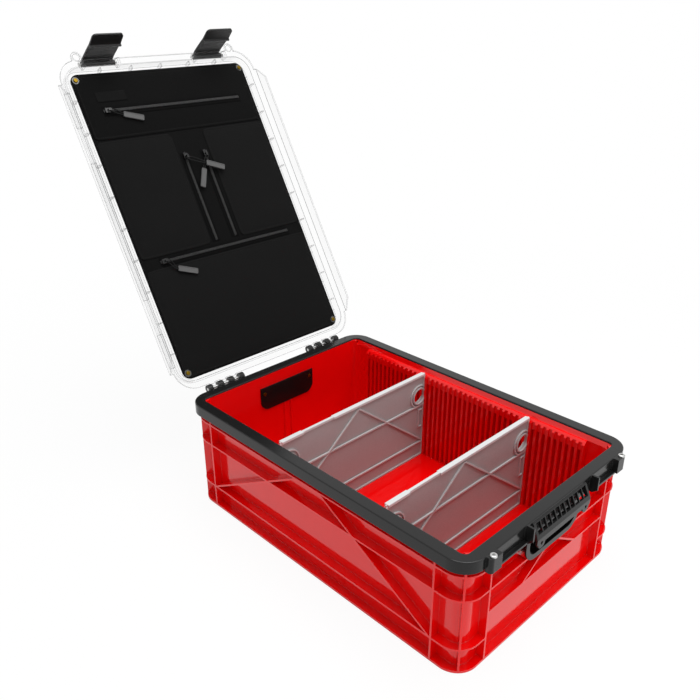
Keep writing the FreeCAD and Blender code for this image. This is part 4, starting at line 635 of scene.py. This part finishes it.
def zip_chain(length):
    """A closed zip along X from the origin, its tape's back at level 0 and its coil below."""
    tape = start_flat(Vector((0, -TAPE / 2)), Vector((length, TAPE / 2)), 0, columns=40, rows=6)
    bpy.ops.mesh.extrude_region_move(TRANSFORM_OT_translate={"value": (0, 0, -TAPE_THICK)})
    bpy.ops.mesh.select_all(action="SELECT")
    bpy.ops.mesh.normals_make_consistent(inside=False)
    bpy.ops.object.mode_set(mode="OBJECT")
    apply_modifier(tape, "BEVEL", width=TAPE_ROUND, segments=2, limit_method="ANGLE")
    tape.data.materials.append(zip_tape)
    rows = []
    for row in (-1, 1):
        bpy.ops.object.select_all(action="DESELECT")
        bpy.ops.mesh.primitive_cube_add(size=1)
        loop = bpy.context.object
        loop.scale = LOOP
        bpy.ops.object.transform_apply(location=True, rotation=True, scale=True)
        bpy.ops.object.mode_set(mode="EDIT")
        bpy.ops.mesh.select_all(action="SELECT")
        bpy.ops.transform.rotate(value=math.radians(90), orient_axis="Z",
                                 center_override=(0, 0, 0))
        pick_faces(loop, lambda middle: middle.z < -LOOP.z * 0.4)
        bpy.ops.transform.resize(value=LOOP_TAPER)
        bpy.ops.mesh.select_all(action="SELECT")
        bpy.ops.mesh.bevel(offset=LOOP_ROUND, segments=1, affect="EDGES")
        shift = COIL_PITCH * (0.5 + LOOP_STAGGER * row)
        drop = TAPE_THICK + LOOP.z / 2 - LOOP_SUNK
        bpy.ops.transform.translate(value=(shift, row * LOOP_ROW, -drop))
        bpy.ops.object.mode_set(mode="OBJECT")
        apply_modifier(loop, "ARRAY", count=int((length - COIL_PITCH) / COIL_PITCH),
                       use_relative_offset=False, use_constant_offset=True,
                       constant_offset_displace=(COIL_PITCH, 0, 0))
        loop.data.materials.append(zip_coil)
        rows.append(loop)
    bpy.ops.object.select_all(action="DESELECT")
    for part in rows + [tape]:
        part.select_set(True)
    bpy.context.view_layer.objects.active = tape
    bpy.ops.object.join()
    bpy.ops.object.shade_smooth_by_angle(angle=CRISP_CREASE)
    return tape


for side, (begin, length, turn, level) in ZIPS.items():
    chain = zip_chain(length)
    place = Matrix.Translation((begin.x, begin.y, level)) @ Matrix.Rotation(turn, 4, "Z")
    chain.data.transform(place)
    stand_up(chain, "zip_tape_and_coil_" + side, "lid")
    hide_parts("zip_chain_" + side)

# Sliders: small zinc castings painted black, with a painted highlight along their edges.
# They run on the coils, and each has an arched bail for its cord.

slider_black = moulded("slider_black", screen(12, 12, 12), screen(64, 64, 64),
                       rough=0.22, grain=0.0005, shine=0.35, highlight_share=0.6)
dress(slider_black, *("zip_slider_" + side for side in ZIPS))

# Pull tabs: grey rubber tabs with a sunk panel on each face, left bare.
# Each is moulded over the two ends of its cord and lies against the cloth.

tab_grey = moulded("tab_grey", screen(84, 84, 84), screen(108, 108, 108),
                   rough=0.5, grain=0.0007, shine=0.2)
dress(tab_grey, *("zip_pull_tab_" + side for side in ZIPS))

# Pull cords: thin black braided polyester cord, one to each slider.
# It is doubled through the slider's bail, and both of its ends go into the tab.

CORD = 0.0016
BRAID_CELLS = 1600.0
BRAID_DEPTH = 0.0002
BRAID_DULL = 0.2
CORD_DULL = 0.6
CORD_ROUTES = {
    "top": (0.0524, [
        (-0.1075, -0.1876, 0.1865), (-0.1120, -0.1886, 0.1859), (-0.1205, -0.1913, 0.1846),
        (-0.1260, -0.1940, 0.1835), (-0.1292, -0.1956, 0.1833), (-0.1300, -0.1974, 0.1833),
        (-0.1292, -0.1992, 0.1833), (-0.1274, -0.2000, 0.1833), (-0.1240, -0.1988, 0.1835),
        (-0.1183, -0.1967, 0.1846), (-0.1110, -0.1917, 0.1858), (-0.1067, -0.1900, 0.1865)]),
    "left": (0.0777, [
        (0.0127, -0.0825, 0.1832), (0.0068, -0.0846, 0.1833), (-0.0025, -0.0876, 0.1833),
        (-0.0120, -0.0915, 0.1834), (-0.0175, -0.0943, 0.1835), (-0.0207, -0.0959, 0.1835),
        (-0.0214, -0.0978, 0.1835), (-0.0206, -0.0996, 0.1835), (-0.0187, -0.1003, 0.1835),
        (-0.0154, -0.0990, 0.1835), (-0.0097, -0.0969, 0.1834), (-0.0003, -0.0925, 0.1833),
        (0.0081, -0.0875, 0.1833), (0.0137, -0.0848, 0.1832)]),
    "right": (0.0634, [
        (0.0057, -0.0754, 0.1865), (0.0075, -0.0797, 0.1865), (0.0116, -0.0865, 0.1866),
        (0.0153, -0.0922, 0.1866), (0.0190, -0.0970, 0.1867), (0.0212, -0.0999, 0.1867),
        (0.0231, -0.1002, 0.1867), (0.0248, -0.0991, 0.1867), (0.0251, -0.0972, 0.1867),
        (0.0233, -0.0941, 0.1867), (0.0201, -0.0889, 0.1866), (0.0160, -0.0834, 0.1866),
        (0.0104, -0.0783, 0.1865), (0.0080, -0.0743, 0.1865)]),
    "bottom": (0.0527, [
        (-0.1150, 0.0859, 0.1865), (-0.1194, 0.0845, 0.1865), (-0.1245, 0.0760, 0.1866),
        (-0.1279, 0.0709, 0.1867), (-0.1299, 0.0679, 0.1867), (-0.1296, 0.0660, 0.1867),
        (-0.1280, 0.0648, 0.1867), (-0.1261, 0.0651, 0.1867), (-0.1238, 0.0678, 0.1867),
        (-0.1199, 0.0725, 0.1866), (-0.1182, 0.0815, 0.1865), (-0.1140, 0.0836, 0.1865)]),
}
cord_black, wires = new_finish("cord_black")
place = wires.node("ShaderNodeTexCoord", out="Object")
braid = wires.node("ShaderNodeTexVoronoi", {}, {"Vector": place, "Scale": BRAID_CELLS})
bumped = wires.node("ShaderNodeBump", {}, {
    "Strength": 0.5, "Distance": BRAID_DEPTH, "Height": braid})
show(wires, wires.node("ShaderNodeBsdfPrincipled", {}, {
    "Base Color": wires.mixed(braid, screen(6, 6, 6), screen(18, 18, 18)),
    "Roughness": CORD_DULL + braid * BRAID_DULL, "Specular IOR Level": 0.2,
    "Normal": bumped}))
for side, (length, route) in CORD_ROUTES.items():
    line = bpy.data.curves.new("pull_cord_" + side, "CURVE")
    line.dimensions = "3D"
    line.bevel_depth = CORD / 2
    line.bevel_resolution = 3
    line.resolution_u = 8
    line.use_fill_caps = True
    spline = line.splines.new("NURBS")
    spline.points.add(len(route) - 1)
    for point, spot in zip(spline.points, route):
        point.co = (LID_UP @ Vector(spot)).to_4d()
    spline.order_u = 3
    spline.use_endpoint_u = True
    cord = bpy.data.objects.new("pull_cord_" + side, line)
    bpy.context.scene.collection.objects.link(cord)
    line.materials.append(cord_black)
    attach(cord, "pull_" + side)
    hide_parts("zip_pull_cord_" + side)

# Studio: a pale floor and a white room, lit softly from above and in front, and the camera
# at the photograph's place. Reflections and the clear lid see the same white room.

FLOOR_SIZE = 60
FLOOR_LEVEL = -0.0002
SHADOW_SHARE = 0.08
SHADOW_FADE = 0.6
ROOM_LIGHT = 0.42
WHITE = (1, 1, 1, 1)


def white_ray(wires):
    """1 for rays that show the room itself: straight, mirrored or through the clear lid."""
    path = wires.node("ShaderNodeLightPath", out="Is Camera Ray")
    ways = path.socket.node.outputs
    seen = path + Wire(wires.tree, ways["Is Glossy Ray"])
    seen = seen + Wire(wires.tree, ways["Is Transmission Ray"])
    return wires.math("MINIMUM", seen, 1.0)


bpy.ops.object.select_all(action="DESELECT")
bpy.ops.mesh.primitive_plane_add(size=FLOOR_SIZE, location=(0, 0, FLOOR_LEVEL))
floor = bpy.context.object
floor.name = "floor"
floor_white, wires = new_finish("floor_white")
away = wires.node("ShaderNodeVectorMath", {"operation": "LENGTH"},
                  {0: wires.node("ShaderNodeTexCoord", out="Object")}, out="Value")
near = wires.math("MAXIMUM", 1 - away * SHADOW_FADE, 0.0)
matt = wires.node("ShaderNodeBsdfDiffuse", {}, {"Color": (0.9, 0.9, 0.9, 1)})
plain = wires.node("ShaderNodeEmission", {}, {"Color": WHITE, "Strength": 1.0})
seen = white_ray(wires) * (1 - near * SHADOW_SHARE)
show(wires, wires.node("ShaderNodeMixShader", {}, {0: seen, 1: matt, 2: plain}))
floor.data.materials.append(floor_white)

room = bpy.data.worlds.new("white_room")
bpy.context.scene.world = room
room.use_nodes = True
room.node_tree.nodes.clear()
wires = Wire(room.node_tree)
soft = wires.node("ShaderNodeBackground", {}, {"Color": WHITE, "Strength": ROOM_LIGHT})
plain = wires.node("ShaderNodeBackground", {}, {"Color": WHITE, "Strength": 1.0})
mixed = wires.node("ShaderNodeMixShader", {}, {0: white_ray(wires), 1: soft, 2: plain})
wires.node("ShaderNodeOutputWorld", {}, {"Surface": mixed})

for name, spot, aim, size, power in (
        ("top_light", (0.15, -0.4, 2.6), (0, 0.05, 0.1), 2.0, 66),
        ("front_light", (0.6, -3.0, 0.7), (0, 0, 0.2), 1.4, 13)):
    bpy.ops.object.light_add(type="AREA", location=spot)
    lamp = bpy.context.object
    lamp.name = name
    lamp.data.size = size
    lamp.data.energy = power
    lamp.rotation_euler = (Vector(aim) - Vector(spot)).to_track_quat("-Z", "Y").to_euler()

CAMERA_SPOT = Vector((-0.7737, -0.6826, 0.7851))
CAMERA_LOOK = Vector((0.6345, 0.6463, -0.4240))
CAMERA_LENS = 39.6
bpy.ops.object.camera_add(location=CAMERA_SPOT)
camera = bpy.context.object
camera.rotation_euler = CAMERA_LOOK.to_track_quat("-Z", "Y").to_euler()
camera.data.sensor_width = 36.0
camera.data.lens = CAMERA_LENS
bpy.context.scene.camera = camera
bpy.context.scene.view_settings.view_transform = "Standard"
